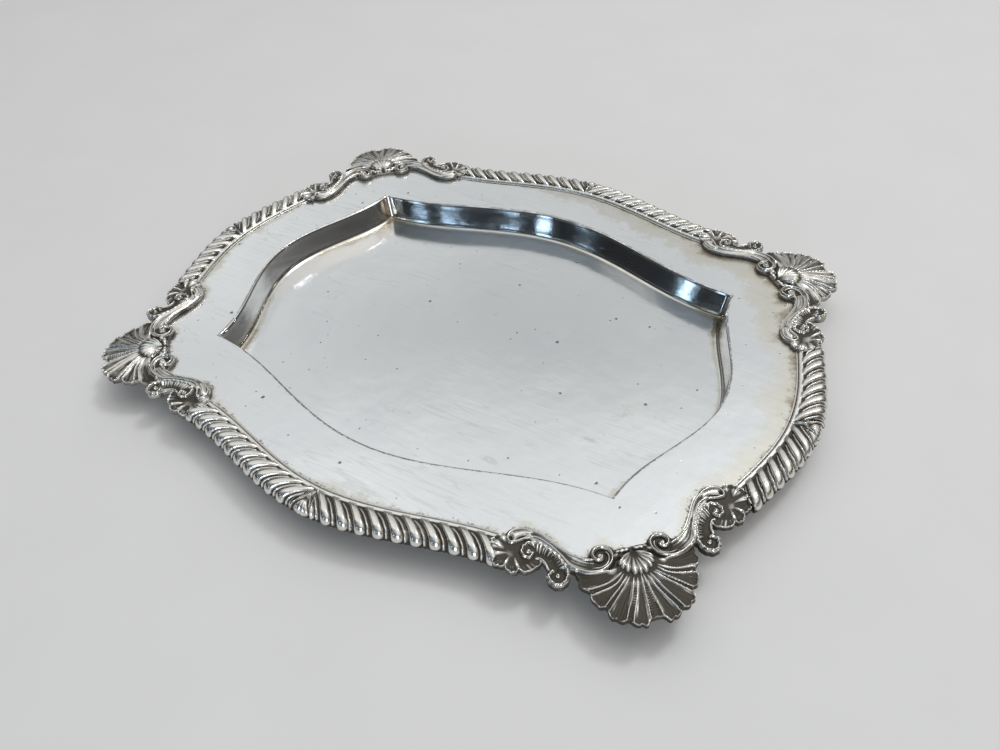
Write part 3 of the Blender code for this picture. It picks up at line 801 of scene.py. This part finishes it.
def crown_cleanness_and_shade(form):
    """1 where rubbing keeps the silver bright, and 0 where it stays dark. The outer roll below the flange's
    level is darker too: painted shade and a painted dark reflection, over some oxide.
    """
    fillet = 1 - smoothstep(CROWN_RUN, 3.0, 3.8)
    groove = ridge(CROWN[:, 0], 0.22) * fillet
    # Painted shade and a painted dark reflection on the roll below the flange's level, over some oxide
    underside = smoothstep(-CROWN[:, 1], 0.3, 1.8)
    clean_and_unshaded = np.maximum(0.15 + 0.75 * form, 0.9 * fillet) - 0.9 * groove
    return np.clip(clean_and_unshaded - 0.55 * underside, 0, 1)


def build_band_piece(name, node, band, signs, along, low_along, form, taper, material):
    """A strip or a leaf as a tube of sections: a struck crown, sunk between its forms, and an underside.
    The signs say which end and side of the dish it is on."""
    end, side = signs
    sink = crown_sink(form)
    across = np.hstack([(CROWN[:, 0] - CROWN_NORMAL[:, 0] * sink) * taper, UNDER[:, 0] * taper[:, :1]])
    low_height = np.broadcast_to(UNDER[:, 1], low_along.shape)
    height = np.hstack([CROWN[:, 1] - CROWN_NORMAL[:, 1] * sink, low_height])
    # The underside gets a low constant: oxide and painted shade under the strip
    clean_and_unshaded = np.hstack([crown_cleanness_and_shade(form), np.full(low_along.shape, 0.2)])
    along = np.hstack([along, low_along])
    across = across + band_edge(band, along)
    plan = [end * along, side * across] if band is LONG_BAND else [side * across, end * along]
    points = np.stack([*plan, height + FLANGE_TOP], axis=-1).reshape(-1, 3)
    piece = closed_object(name, points, tube_faces(*along.shape), {"relief": clean_and_unshaded}, material)
    finish_piece(piece, "struck_silver", node)


def leaf_edge(out):
    """Half the width of the gap for the leaf, which spreads outwards."""
    return LEAF_TIP_HALF_WIDTH + LEAF_SPREAD * np.maximum(out, 0)


def strip_stations(band, share, out):
    """Where the rows of a strip lie along its side, from the leaf to the small shell, with a slight lean."""
    out = np.maximum(out, 0)
    start = leaf_edge(out)
    return start + (strip_end(band, out) - start) * share + 0.5 * np.sin(np.pi * share) * out


def build_strip(name, band, side, end, material):
    share = np.linspace(0, 1, int(band["end"] / STATION_PITCH))[:, None]
    out = CROWN[:, 0]
    along = strip_stations(band, share, out)
    low_along = strip_stations(band, share, UNDER[:, 0])
    across_share = np.clip(out / BAND_WIDTH, 0, 1)
    slide = band["slide"] * (1.25 * across_share - 0.25 * across_share**4)
    form = lobe_form((along + band["first"] - slide) / band["pitch"], out)
    taper = 1 - BAND_TAPER * np.minimum(1, along / band["end"])
    build_band_piece("gadroon_strip_" + name, "gadroon_" + name, band, (end, side), along, low_along, form,
                     taper, material)


def leaf_form(along, out, half):
    """How far the leaf's crown stands up: a stem, two branches, a notched bud and a line beside each edge."""
    away = np.abs(along)
    stem = ridge(along, 0.55) * (1 - smoothstep(out, 5.5, 7.5))
    branch = 0.85 * ridge(away - 0.62 * np.maximum(out - 4.6, 0), 0.38) * smoothstep(out, 3.8, 5.0)
    bud_half = 0.3 + 0.62 * np.maximum(out - 6.8, 0)
    bud = (1 - np.clip(away / bud_half, 0, 1) ** 2.2) ** 0.5 * smoothstep(out, 6.8, 8.8)
    bud = bud * (1 - 0.22 * ridge(along, 0.25) - 0.12 * ridge(away - 0.5 * bud_half, 0.2))
    line = 0.4 * ridge(away - half + 0.3, 0.14) * smoothstep(out, 2.5, 4.0)
    return np.clip(np.max([stem, bud, branch, line], axis=0), 0, 1)


def build_leaf(name, band, side, material):
    share = np.linspace(-1, 1, LEAF_STATIONS)[:, None]
    half = leaf_edge(CROWN[:, 0]) - LEAF_GAP
    along = half * share
    low_along = (leaf_edge(UNDER[:, 0]) - LEAF_GAP) * share
    form = leaf_form(along, CROWN[:, 0], half)
    build_band_piece("mid_leaf_" + name, "leaf_" + name, band, (1, side), along, low_along, form,
                     np.ones(along.shape), material)


def build_border(material):
    for band, sides, ends in ((LONG_BAND, ("front", "back"), ("left", "right")),
                              (SHORT_BAND, ("left", "right"), ("front", "back"))):
        for side, side_name in zip((-1, 1), sides):
            build_leaf(side_name, band, side, material)
            for end, end_name in zip((-1, 1), ends):
                build_strip(f"{side_name}_{end_name}", band, side, end, material)


# ---------------------------------------------------------------- dish body


def well_outline(shape):
    """The four ogee sides of the well, counter-clockwise from the front left cusp."""
    t = np.linspace(-1, 1, POINTS_A_SIDE, endpoint=False)
    bulge = swell(t, 1) ** shape["fullness"]
    front = np.column_stack([t * shape["half_length"], -shape["half_width"] - shape["long_swell"] * bulge])
    right = np.column_stack([shape["half_length"] + shape["short_swell"] * bulge, t * shape["half_width"]])
    return np.vstack([front, right, -front, -right])


def with_height(points, height):
    return np.column_stack([points, np.full(len(points), height)])


def wall_profile():
    """How the sheet climbs from floor to flange: share of the way out, height, and depth of grime."""
    low = SHEET + FLOOR_BLEND
    high = FLANGE_TOP - RIM_ROLL
    quarter = [(step / 8, math.sin(math.pi / 16 * step), 1 - math.cos(math.pi / 16 * step))
               for step in range(9)]
    foot = [(WALL_FOOT * sine, SHEET + FLOOR_BLEND * rest, 1.2 - 0.8 * step) for step, sine, rest in quarter]
    wall = [(WALL_FOOT + (WALL_HEAD - WALL_FOOT) * step, low + (high - low) * step, 0.3 - 0.32 * step)
            for step in (0.25, 0.5, 0.75)]
    roll = [(WALL_HEAD + (1 - WALL_HEAD) * rest, high + RIM_ROLL * sine, 0.05 + 0.5 * step**2)
            for step, sine, rest in quarter]
    return [(-0.25, SHEET, 0.8), *foot, *wall, *roll]


def distance_to(points, line):
    nearest = np.full(len(points), 1e9)
    for x, y in line:
        nearest = np.minimum(nearest, np.hypot(points[:, 0] - x, points[:, 1] - y))
    return nearest


def border_quarter(corner, offset, short_count, long_count):
    """A closed outline: the sides run beside the bands' edges, and each corner follows the given points."""
    short_along = np.linspace(0, SHORT_BAND["end"], short_count)
    long_along = np.linspace(LONG_BAND["end"], 0, long_count)
    short_side = np.column_stack([band_edge(SHORT_BAND, short_along) + offset, short_along])
    long_side = np.column_stack([long_along, band_edge(LONG_BAND, long_along) + offset])
    corner = np.array([corner_point(*p) for p in corner])
    upper = np.vstack([short_side, corner, long_side])
    upper = np.vstack([upper, upper[-2::-1] * (-1, 1)])
    return np.vstack([upper, upper[-2:0:-1] * (1, -1)])


def mirrored(half):
    """Points of a mount's half, carried on over its mirror image."""
    return [*half, *[(-along, out) for along, out in reversed(half)]]


def flange_outline():
    """The flange's edge, hidden under the border: strips' sides, necks and a lobe under each big shell."""
    neck = [(-34.0, -9.0), (-27.0, -8.0), (-20.5, -0.5)]
    lobe = [(LOBE_RADIUS * math.sin(a), LOBE_CENTRE + LOBE_RADIUS * math.cos(a))
            for a in np.radians(np.linspace(-78, 0, 7))]
    return border_quarter(mirrored(neck + lobe), 6.0, 14, 22)


def border_line():
    """Where the border meets the open flange."""
    side = [tuple(p) for p in curve_through(FLANGE_SIDE, 1.0)]
    return border_quarter(mirrored([(-along, out) for along, out in reversed(side)]), 0.0, 40, 60)


def border_offsets(border):
    """Rows of points beside the border, so that the flange's layers can change quickly there."""
    inward = left_of(np.roll(border, -1, axis=0) - np.roll(border, 1, axis=0))
    return [border + inward * away for away in BORDER_ROWS]


def fill_between(outer, inner=None, extra=()):
    """Triangles within a loop, or between two loops, with a grid of points in the field."""
    reach = np.abs(outer).max(0)
    x, y = np.meshgrid(*[np.arange(-r, r, GRID) for r in reach])
    grid = np.column_stack([x.ravel(), y.ravel()])
    if extra:
        grid = grid[distance_to(grid, np.vstack(extra)) > 0.5 * GRID]
    grid = np.vstack([grid, *extra])
    grid = grid[inside_loop(*grid.T, outer)]
    keep = distance_to(grid, outer) > 0.3 * GRID
    loops = [outer]
    if inner is not None:
        keep &= ~inside_loop(*grid.T, inner) & (distance_to(grid, inner) > 0.6 * GRID)
        loops.append(inner)
    edges = []
    start = 0
    for loop in loops:
        edges += [(start + i, start + (i + 1) % len(loop)) for i in range(len(loop))]
        start += len(loop)
    points = np.vstack(loops + [grid[keep]])
    result = delaunay_2d_cdt([Vector(p) for p in points], edges, [], 0, 1e-7)
    flat = np.array([tuple(p) for p in result[0]])
    triangles = np.array(result[2])
    middle = flat[triangles].mean(1)
    good = inside_loop(*middle.T, outer)
    if inner is not None:
        good &= ~inside_loop(*middle.T, inner)
    return flat, triangles[good]


def near_cusp(points):
    """1 at the well's four cusps, fading over a couple of centimetres."""
    cusp = np.array((FLOOR["half_length"], FLOOR["half_width"]))
    return np.exp(-np.hypot(*(np.abs(points[:, :2]) - cusp).T) / CUSP_REACH)


def wall_rings():
    """The wall as rings of points, from just inside the floor's edge to just past the rim, and its grime."""
    floor = well_outline(FLOOR)
    rim = well_outline(RIM)
    rings = []
    grime = []
    for share, height, soil in wall_profile():
        ring = floor + (rim - floor) * share
        rings.append(with_height(ring, height))
        grime.append(soil * 0.75 + (0.6 + 0.4 * soil) * near_cusp(ring) * (height < FLANGE_TOP - RIM_ROLL))
    rings.append(with_height(rim + unit(rim) * RIM_SUPPORT, FLANGE_TOP))
    grime.append(np.zeros(len(rim)))
    return rings, grime


def wall_part():
    """Points, grime, edge marks and faces of the wall: the edge marks are a thin dark line painted round the
    rim, a painted dark reflection in the rim's roll.
    """
    rings, grime = wall_rings()
    dirt_and_rim_reflection = np.zeros((len(rings), len(rings[0])))
    # A thin dark line painted round the rim: a painted dark reflection in the rim's roll
    dirt_and_rim_reflection[-4:-1] = RIM_PAINTED_REFLECTION
    return np.vstack(rings), np.concatenate(grime), dirt_and_rim_reflection.ravel(), ring_quads(*dirt_and_rim_reflection.shape)


def floor_part(edge):
    flat, triangles = fill_between(edge)
    grime = 0.8 * np.exp(-distance_to(flat, edge) / FOOT_REACH) * (0.55 + 0.75 * near_cusp(flat))
    return with_height(flat, SHEET), grime, np.zeros(len(flat)), triangles


def flange_part(edge):
    """The flange is dirty beside the border, and most of all at the back right."""
    border = border_line()
    flat, triangles = fill_between(flange_outline(), edge, border_offsets(border))
    away = distance_to(flat, border)
    back_right = smoothstep(flat[:, 0] + flat[:, 1], 20, 150)
    grime = np.exp(-away / (BORDER_REACH + BACK_RIGHT_REACH * back_right)) * (0.75 + 0.55 * back_right)
    return with_height(flat, FLANGE_TOP), grime, np.exp(-away / DIRT_REACH), triangles


def build_dish(material):
    wall = wall_part()
    count = 4 * POINTS_A_SIDE
    parts = [wall, floor_part(wall[0][:count, :2]), flange_part(wall[0][-count:, :2])]
    faces = []
    start = 0
    for part in parts:
        faces += (part[3] + start).tolist()
        start += len(part[0])
    points, grime, dirt_and_rim_reflection = [np.concatenate([part[i] for part in parts]) for i in range(3)]
    dish = new_object("dish", points, faces, {"grime": grime, "edge_dirt_and_rim_reflection": dirt_and_rim_reflection}, material)
    weld_and_face_up(dish.data)
    thickness = dish.modifiers.new("sheet", "SOLIDIFY")
    thickness.thickness = SHEET * MM
    thickness.offset = -1
    thickness.use_even_offset = True
    finish_piece(dish, "polished_silver", "dish_body")


def weld_and_face_up(mesh):
    bm = bmesh.new()
    bm.from_mesh(mesh)
    bmesh.ops.remove_doubles(bm, verts=bm.verts, dist=0.0005 * MM)
    bmesh.ops.recalc_face_normals(bm, faces=bm.faces)
    middle = min(bm.faces, key=lambda f: f.calc_center_median().length)
    if middle.normal.z < 0:
        bmesh.ops.reverse_faces(bm, faces=bm.faces)
    bm.to_mesh(mesh)
    bm.free()


# ---------------------------------------------------------------- materials


class Nodes:
    """A short way to write the node tree of a material or of the world."""

    def __init__(self, owner):
        owner.use_nodes = True
        self.owner = owner
        self.tree = owner.node_tree
        self.tree.nodes.clear()

    def add(self, kind, inputs=(), **settings):
        """A node with its settings, and with each input linked to a socket or set to a value."""
        node = self.tree.nodes.new(kind)
        for key, value in settings.items():
            setattr(node, key, value)
        for key, value in dict(inputs).items():
            if isinstance(value, bpy.types.NodeSocket):
                self.tree.links.new(value, node.inputs[key])
            elif node.inputs[key].type == "RGBA":
                node.inputs[key].default_value = (*value, 1.0)
            else:
                node.inputs[key].default_value = value
        return node

    def math(self, operation, a, b=0.0):
        return self.add("ShaderNodeMath", {0: a, 1: b}, operation=operation).outputs[0]

    def plus(self, total, *others):
        for other in others:
            total = self.math("ADD", total, other)
        return total

    def minus(self, a, b):
        return self.math("SUBTRACT", a, b)

    def times(self, a, b):
        return self.math("MULTIPLY", a, b)

    def swing(self, noise, reach):
        """A noise that swings about zero instead of about a half."""
        return self.times(self.minus(noise, 0.5), reach)

    def vector(self, operation, a, b=(0, 0, 0)):
        return self.add("ShaderNodeVectorMath", {0: a, 1: b}, operation=operation)

    def span(self, value, low, high, to_low=0.0, to_high=1.0):
        return self.add("ShaderNodeMapRange", {"Value": value, "From Min": low, "From Max": high,
                                               "To Min": to_low, "To Max": to_high}, clamp=True).outputs[0]

    def mix(self, share, a, b):
        return self.add("ShaderNodeMix", {0: share, 6: a, 7: b}, data_type="RGBA").outputs[2]

    def layer(self, name):
        return self.add("ShaderNodeAttribute", attribute_name=name).outputs["Fac"]

    def split(self, vector):
        return self.add("ShaderNodeSeparateXYZ", {0: vector}).outputs

    def place(self, scale=(1, 1, 1), turn=0.0):
        """Object coordinates in millimetres, turned about Z and scaled."""
        coordinates = self.add("ShaderNodeTexCoord").outputs["Object"]
        return self.add("ShaderNodeMapping", {"Vector": coordinates, "Scale": [s / MM for s in scale],
                                              "Rotation": (0, 0, turn)}, vector_type="POINT").outputs[0]

    def noise(self, place, scale, detail=3.0, roughness=0.5):
        return self.add("ShaderNodeTexNoise", {"Vector": place, "Scale": scale, "Detail": detail,
                                               "Roughness": roughness, "Distortion": 0.0}).outputs["Fac"]

    def cells(self, place, scale):
        """A flat Voronoi pattern: its own distance, and the chances that each cell drew."""
        pattern = self.add("ShaderNodeTexVoronoi", {"Vector": place, "Scale": scale}, voronoi_dimensions="2D")
        chances = self.add("ShaderNodeSeparateColor", {0: pattern.outputs["Color"]})
        return pattern.outputs["Distance"], chances.outputs

    def finish(self, colour, roughness, bump, strength, metallic=1.0, distance=1.0):
        normal = self.add("ShaderNodeBump", {"Height": bump, "Strength": strength, "Distance": distance * MM})
        shader = self.add("ShaderNodeBsdfPrincipled", {"Base Color": colour, "Roughness": roughness,
                                                       "Metallic": metallic, "Normal": normal.outputs[0]})
        self.add("ShaderNodeOutputMaterial", {0: shader.outputs[0]})
        return self.owner


def pits(nodes, wobble, cell, share, radius):
    """Round pits, one in a share of the cells of a Voronoi pattern, each with its own size (mm)."""
    distance, chances = nodes.cells(nodes.vector("ADD", nodes.place(), wobble).outputs[0], 1 / cell)
    reach = nodes.span(chances[0], 1 - share, 1.0, 0.0, radius / cell)
    return nodes.span(nodes.minus(reach, distance), 0.0, 0.35 * radius / cell)


def smudges(nodes, turn, cell, share, reach):
    """Long soft marks, each an ellipse in one of the cells of a stretched Voronoi pattern (mm)."""
    distance, chances = nodes.cells(nodes.place((0.35 / cell, 1 / cell, 1 / cell), turn), 1.0)
    size = nodes.span(chances[1], 1 - share, 1.0, 0.0, reach / cell)
    return nodes.span(nodes.minus(size, distance), 0.0, 0.8 * reach / cell)


def hairlines(nodes, turn, patch_turn):
    """Fine scratches: thin contours of a noise that is stretched along them, kept to patches."""
    field = nodes.noise(nodes.place((0.022, 0.26, 0.26), turn), 1.0, 1.0, 0.4)
    thin = nodes.span(nodes.math("ABSOLUTE", nodes.minus(field, 0.5)), 0.0, 0.022, 1.0, 0.0)
    patch = nodes.span(nodes.noise(nodes.place((0.03, 0.03, 0.03), patch_turn), 1.0, 2.0), 0.50, 0.62)
    return nodes.times(thin, patch)


def polished_silver():
    nodes = Nodes(bpy.data.materials.new("polished_silver_worn"))
    place = nodes.place()
    grime = nodes.layer("grime")
    streak = nodes.noise(nodes.place((0.035, 0.7, 0.7), 0.5), 1.0, 4.0, 0.6)
    cross_streak = nodes.noise(nodes.place((0.6, 0.03, 0.6), 0.25), 1.0, 3.0)
    cloud = nodes.noise(place, 0.018, 4.0, 0.55)
    patchy = nodes.noise(place, 0.11, 6.0, 0.68)
    mottle = nodes.noise(place, 0.9, 3.0, 0.6)

    # Pits, smudges and hairlines lie on the floor and the flange only
    upright = nodes.split(nodes.add("ShaderNodeNewGeometry").outputs["Normal"])[2]
    flat = nodes.span(nodes.math("ABSOLUTE", upright), 0.85, 0.98)
    wander = nodes.add("ShaderNodeTexNoise", {"Vector": place, "Scale": 0.9, "Detail": 2.0}).outputs["Color"]
    wobble = nodes.vector("SUBTRACT", wander, (0.5, 0.5, 0.5)).outputs[0]
    wobble = nodes.vector("MULTIPLY", wobble, (0.9, 0.9, 0.9)).outputs[0]
    pit = nodes.math("MAXIMUM", pits(nodes, wobble, 17.0, 0.4, 1.0), pits(nodes, wobble, 7.0, 0.22, 0.5))
    pit = nodes.times(flat, pit)
    smudge = nodes.times(smudges(nodes, 0.9, 26.0, 0.3, 1.9), nodes.span(mottle, 0.35, 0.6))
    smudge = nodes.times(flat, smudge)
    scratch = nodes.math("MAXIMUM", hairlines(nodes, 0.5, 0.0), hairlines(nodes, 2.3, 1.0))
    scratch = nodes.times(flat, scratch)

    # Beige tarnish creeps in from the border, and dots of brown dirt sit close beside it; the same dots, in a
    # line round the rim, are a painted dark reflection
    spread = nodes.plus(nodes.times(grime, 0.95), nodes.swing(cloud, 1.8), nodes.swing(patchy, 1.1))
    tarnish = nodes.plus(nodes.span(spread, 0.38, 0.85, 0, 0.65), nodes.span(spread, 0.50, 0.58, 0, 0.35))
    edge = nodes.times(nodes.layer("edge_dirt_and_rim_reflection"), nodes.span(patchy, 0.35, 0.65, 0.25, 0.62))
    dirt_dots_and_rim_reflection = nodes.span(nodes.plus(mottle, edge), 0.76, 0.90)
    corner_dirt = nodes.span(nodes.plus(grime, nodes.swing(patchy, 1.5)), 1.04, 1.35)

    colour = nodes.mix(nodes.span(cloud, 0.3, 0.7), (0.84, 0.855, 0.87), (0.93, 0.93, 0.925))
    colour = nodes.mix(nodes.span(streak, 0.3, 0.7, 0, 0.18), colour, (0.80, 0.81, 0.82))
    for mask, strength, tint in ((tarnish, 0.72, (0.62, 0.58, 0.48)), (dirt_dots_and_rim_reflection, 0.72, (0.17, 0.14, 0.10)),
                                 (corner_dirt, 0.7, (0.26, 0.20, 0.13)), (scratch, 0.2, (0.42, 0.42, 0.42)),
                                 (smudge, 0.45, (0.35, 0.35, 0.34)), (pit, 0.85, (0.10, 0.10, 0.095))):
        colour = nodes.mix(nodes.times(mask, strength), colour, tint)

    # The steep walls stay smoother than the flats, which cloths have brushed
    brushed = nodes.times(flat, nodes.span(nodes.split(place)[2], 3.0, 12.0, 0.05, 0.12))
    rough = nodes.plus(nodes.span(streak, 0.2, 0.8, 0.06, 0.13), brushed, nodes.times(tarnish, 0.12),
                       nodes.times(nodes.plus(pit, dirt_dots_and_rim_reflection), 0.25),
                       nodes.times(nodes.plus(smudge, scratch), 0.08))
    bump = nodes.plus(nodes.times(streak, 0.012), nodes.times(cross_streak, 0.008), nodes.times(cloud, 0.5))
    bump = nodes.minus(bump, nodes.times(pit, 0.03))
    return nodes.finish(colour, rough, bump, 1.0)


def struck_silver():
    """Silver that rubbing keeps bright on its ridges, with oxide in its hollows, painted shade under its
    rolls and edges, and darker towards the front right.
    """
    nodes = Nodes(bpy.data.materials.new("struck_silver_oxidised"))
    place = nodes.place()
    wander = nodes.noise(place, 0.5, 3.0, 0.6)
    fine = nodes.noise(place, 3.0, 2.0)
    x, y, _ = nodes.split(place)
    # The relief layer carries oxide and painted shade; the last term makes the silver darker towards the
    # front right
    level = nodes.plus(nodes.layer("relief"), nodes.swing(wander, 0.22),
                       nodes.swing(nodes.noise(place, 0.09, 2.0), 0.4), nodes.swing(fine, 0.08),
                       nodes.span(nodes.minus(x, y), 60, 220, 0.16, 0.0))
    clean_and_unshaded = nodes.span(level, 0.34, 0.66)
    bright = nodes.mix(wander, (0.74, 0.715, 0.66), (0.90, 0.885, 0.85))
    colour = nodes.mix(clean_and_unshaded, (0.085, 0.075, 0.062), bright)
    rough = nodes.span(clean_and_unshaded, 0.0, 1.0, 0.62, 0.27)
    metallic = nodes.span(clean_and_unshaded, 0.0, 1.0, 0.8, 1.0)
    bump = nodes.plus(nodes.times(fine, 0.012), nodes.times(wander, 0.03))
    return nodes.finish(colour, rough, bump, 0.8, metallic)


def dull_solder():
    nodes = Nodes(bpy.data.materials.new("solder_cast"))
    lumps = nodes.noise(nodes.place(), 0.8, 4.0, 0.6)
    spots = nodes.noise(nodes.place(), 4.0, 2.0)
    colour = nodes.mix(lumps, (0.18, 0.18, 0.185), (0.42, 0.42, 0.43))
    bump = nodes.plus(nodes.times(lumps, 0.5), nodes.times(spots, 0.1))
    return nodes.finish(colour, nodes.span(spots, 0.2, 0.8, 0.45, 0.7), bump, 1.0, 0.85)


# ---------------------------------------------------------------- stage, light and camera


def build_stage():
    mesh = bpy.data.meshes.new("floor")
    corners = [(x * FLOOR_REACH, y * FLOOR_REACH, 0) for x, y in ((-1, -1), (1, -1), (1, 1), (-1, 1))]
    mesh.from_pydata(corners, [], [(0, 1, 2, 3)])
    nodes = Nodes(bpy.data.materials.new("pale_floor"))
    grain = nodes.noise(nodes.place(), 0.02)
    colour = nodes.mix(grain, (0.68, 0.675, 0.67), (0.72, 0.715, 0.71))
    mesh.materials.append(nodes.finish(colour, 0.75, grain, 0.1, 0.0, 0.1))
    link(bpy.data.objects.new("floor", mesh))


def add_area_light(name, azimuth, elevation, distance, size, energy, colour, seen=True):
    """A soft box that faces the dish from this direction (degrees, metres), mirrored in the silver or not."""
    light = bpy.data.lights.new(name, "AREA")
    light.shape = "RECTANGLE"
    light.size, light.size_y = size
    light.energy = energy
    light.color = colour
    lamp = link(bpy.data.objects.new(name, light))
    a, e = math.radians(azimuth), math.radians(elevation)
    lamp.location = Vector((math.cos(e) * math.cos(a), math.cos(e) * math.sin(a), math.sin(e))) * distance
    lamp.visible_glossy = seen
    lamp.rotation_euler = lamp.location.to_track_quat("Z", "Y").to_euler()


FLOOR_REACH = 3.0
WINDOW_BLUE = (0.56, 0.78, 1.0)
# The studio's brightness over the sine of the elevation: all round, behind the dish, and beside the camera
SKY = ((0.0, 0.02), (0.26, 0.03), (0.44, 0.10), (0.52, 0.34), (0.60, 0.52), (0.77, 0.72), (0.88, 0.80),
       (1.0, 0.74))
BACK = ((0.0, 0.05), (0.34, 0.34), (0.44, 0.68), (0.53, 0.70), (0.60, 0.55), (0.68, 0.53), (0.77, 0.79),
        (0.88, 0.84), (1.0, 0.74))
SHADE = ((0.0, 0.008), (0.44, 0.010), (0.60, 0.04), (0.74, 0.16), (0.88, 0.36), (1.0, 0.74))
BACK_AZIMUTH = 118
SHADE_AZIMUTH = -113


def world_ramp(nodes, place, stops, tint):
    """A colour ramp over the sine of the elevation."""
    node = nodes.add("ShaderNodeValToRGB", {0: place})
    for i, (position, value) in enumerate(stops):
        stop = node.color_ramp.elements[i] if i < 2 else node.color_ramp.elements.new(position)
        stop.position = position
        stop.color = (tint[0] * value, tint[1] * value, tint[2] * value, 1)
    return node.outputs[0]


def facing(nodes, direction, azimuth):
    """The cosine of the angle on plan between a direction and an azimuth."""
    level = nodes.vector("MULTIPLY", direction, (1, 1, 0)).outputs[0]
    level = nodes.vector("NORMALIZE", level).outputs[0]
    a = math.radians(azimuth)
    return nodes.vector("DOT_PRODUCT", level, (math.cos(a), math.sin(a), 0)).outputs["Value"]


def build_world():
    """A pale studio that darkens towards the horizon, paler behind the dish and dim beside the camera."""
    world = bpy.data.worlds.new("studio")
    bpy.context.scene.world = world
    nodes = Nodes(world)
    direction = nodes.add("ShaderNodeTexCoord").outputs["Generated"]
    sine = nodes.split(direction)[2]
    behind = facing(nodes, direction, BACK_AZIMUTH)
    beside = facing(nodes, direction, SHADE_AZIMUTH)
    colour = world_ramp(nodes, sine, SKY, (1.0, 0.97, 0.92))
    back = world_ramp(nodes, sine, BACK, (0.968, 0.994, 1.0))
    colour = nodes.mix(nodes.span(behind, 0.62, 0.86), colour, back)
    shade = world_ramp(nodes, sine, SHADE, (0.78, 0.90, 1.0))
    colour = nodes.mix(nodes.span(beside, 0.50, 0.84), colour, shade)
    strength = nodes.span(behind, 0.90, 1.0, 1.24, 1.0)
    background = nodes.add("ShaderNodeBackground", {0: colour, 1: strength})
    nodes.add("ShaderNodeOutputWorld", {0: background.outputs[0]})


def build_lights():
    add_area_light("overhead", 60, 75, 1.6, (1.2, 0.9), 5, (1.0, 0.98, 0.95), seen=False)
    add_area_light("window_left", -104.5, 14, 1.8, (0.20, 0.35), 0.85, WINDOW_BLUE)
    add_area_light("window_middle", -91.5, 24, 1.8, (0.10, 0.19), 0.16, WINDOW_BLUE)
    add_area_light("window_far", -127.5, 29, 1.8, (0.15, 0.20), 0.38, WINDOW_BLUE)
    add_area_light("window_right", -62, 12, 1.8, (0.22, 0.35), 6, (0.82, 0.90, 1.0))
    add_area_light("skylight", 62, 62, 1.8, (0.30, 0.35), 6, (0.90, 0.95, 1.0))
    add_area_light("warm_lamp", -20, 15, 1.6, (0.14, 0.14), 0.2, (1.0, 0.80, 0.56))


CAMERA_AZIMUTH = 32.9459
CAMERA_ELEVATION = 44.2015
CAMERA_ROLL = -3.974
CAMERA_PLACE = (0.16012, -0.23078, 0.24864)
LENS = 29.31


def build_camera():
    a, e, roll = (math.radians(v) for v in (CAMERA_AZIMUTH, CAMERA_ELEVATION, CAMERA_ROLL))
    back = Vector((math.sin(a) * math.cos(e), -math.cos(a) * math.cos(e), math.sin(e)))
    right = (-back).cross(Vector((0, 0, 1))).normalized()
    up = right.cross(-back)
    right, up = right * math.cos(roll) + up * math.sin(roll), up * math.cos(roll) - right * math.sin(roll)
    camera = link(bpy.data.objects.new("camera", bpy.data.cameras.new("camera")))
    camera.data.lens = LENS
    camera.data.clip_start = 0.01
    turn = Matrix((right, up, back)).transposed().to_4x4()
    camera.matrix_world = Matrix.Translation(CAMERA_PLACE) @ turn
    bpy.context.scene.camera = camera


def main():
    struck = struck_silver()
    build_dish(polished_silver())
    build_corner_mounts(struck)
    build_border(struck)
    solder = dull_solder()
    for name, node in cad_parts.items():
        if "solder" in name:
            for place in node.material_slots:
                place.material = solder
    build_stage()
    build_world()
    build_lights()
    build_camera()
    bpy.context.scene.view_settings.view_transform = "Standard"


main()
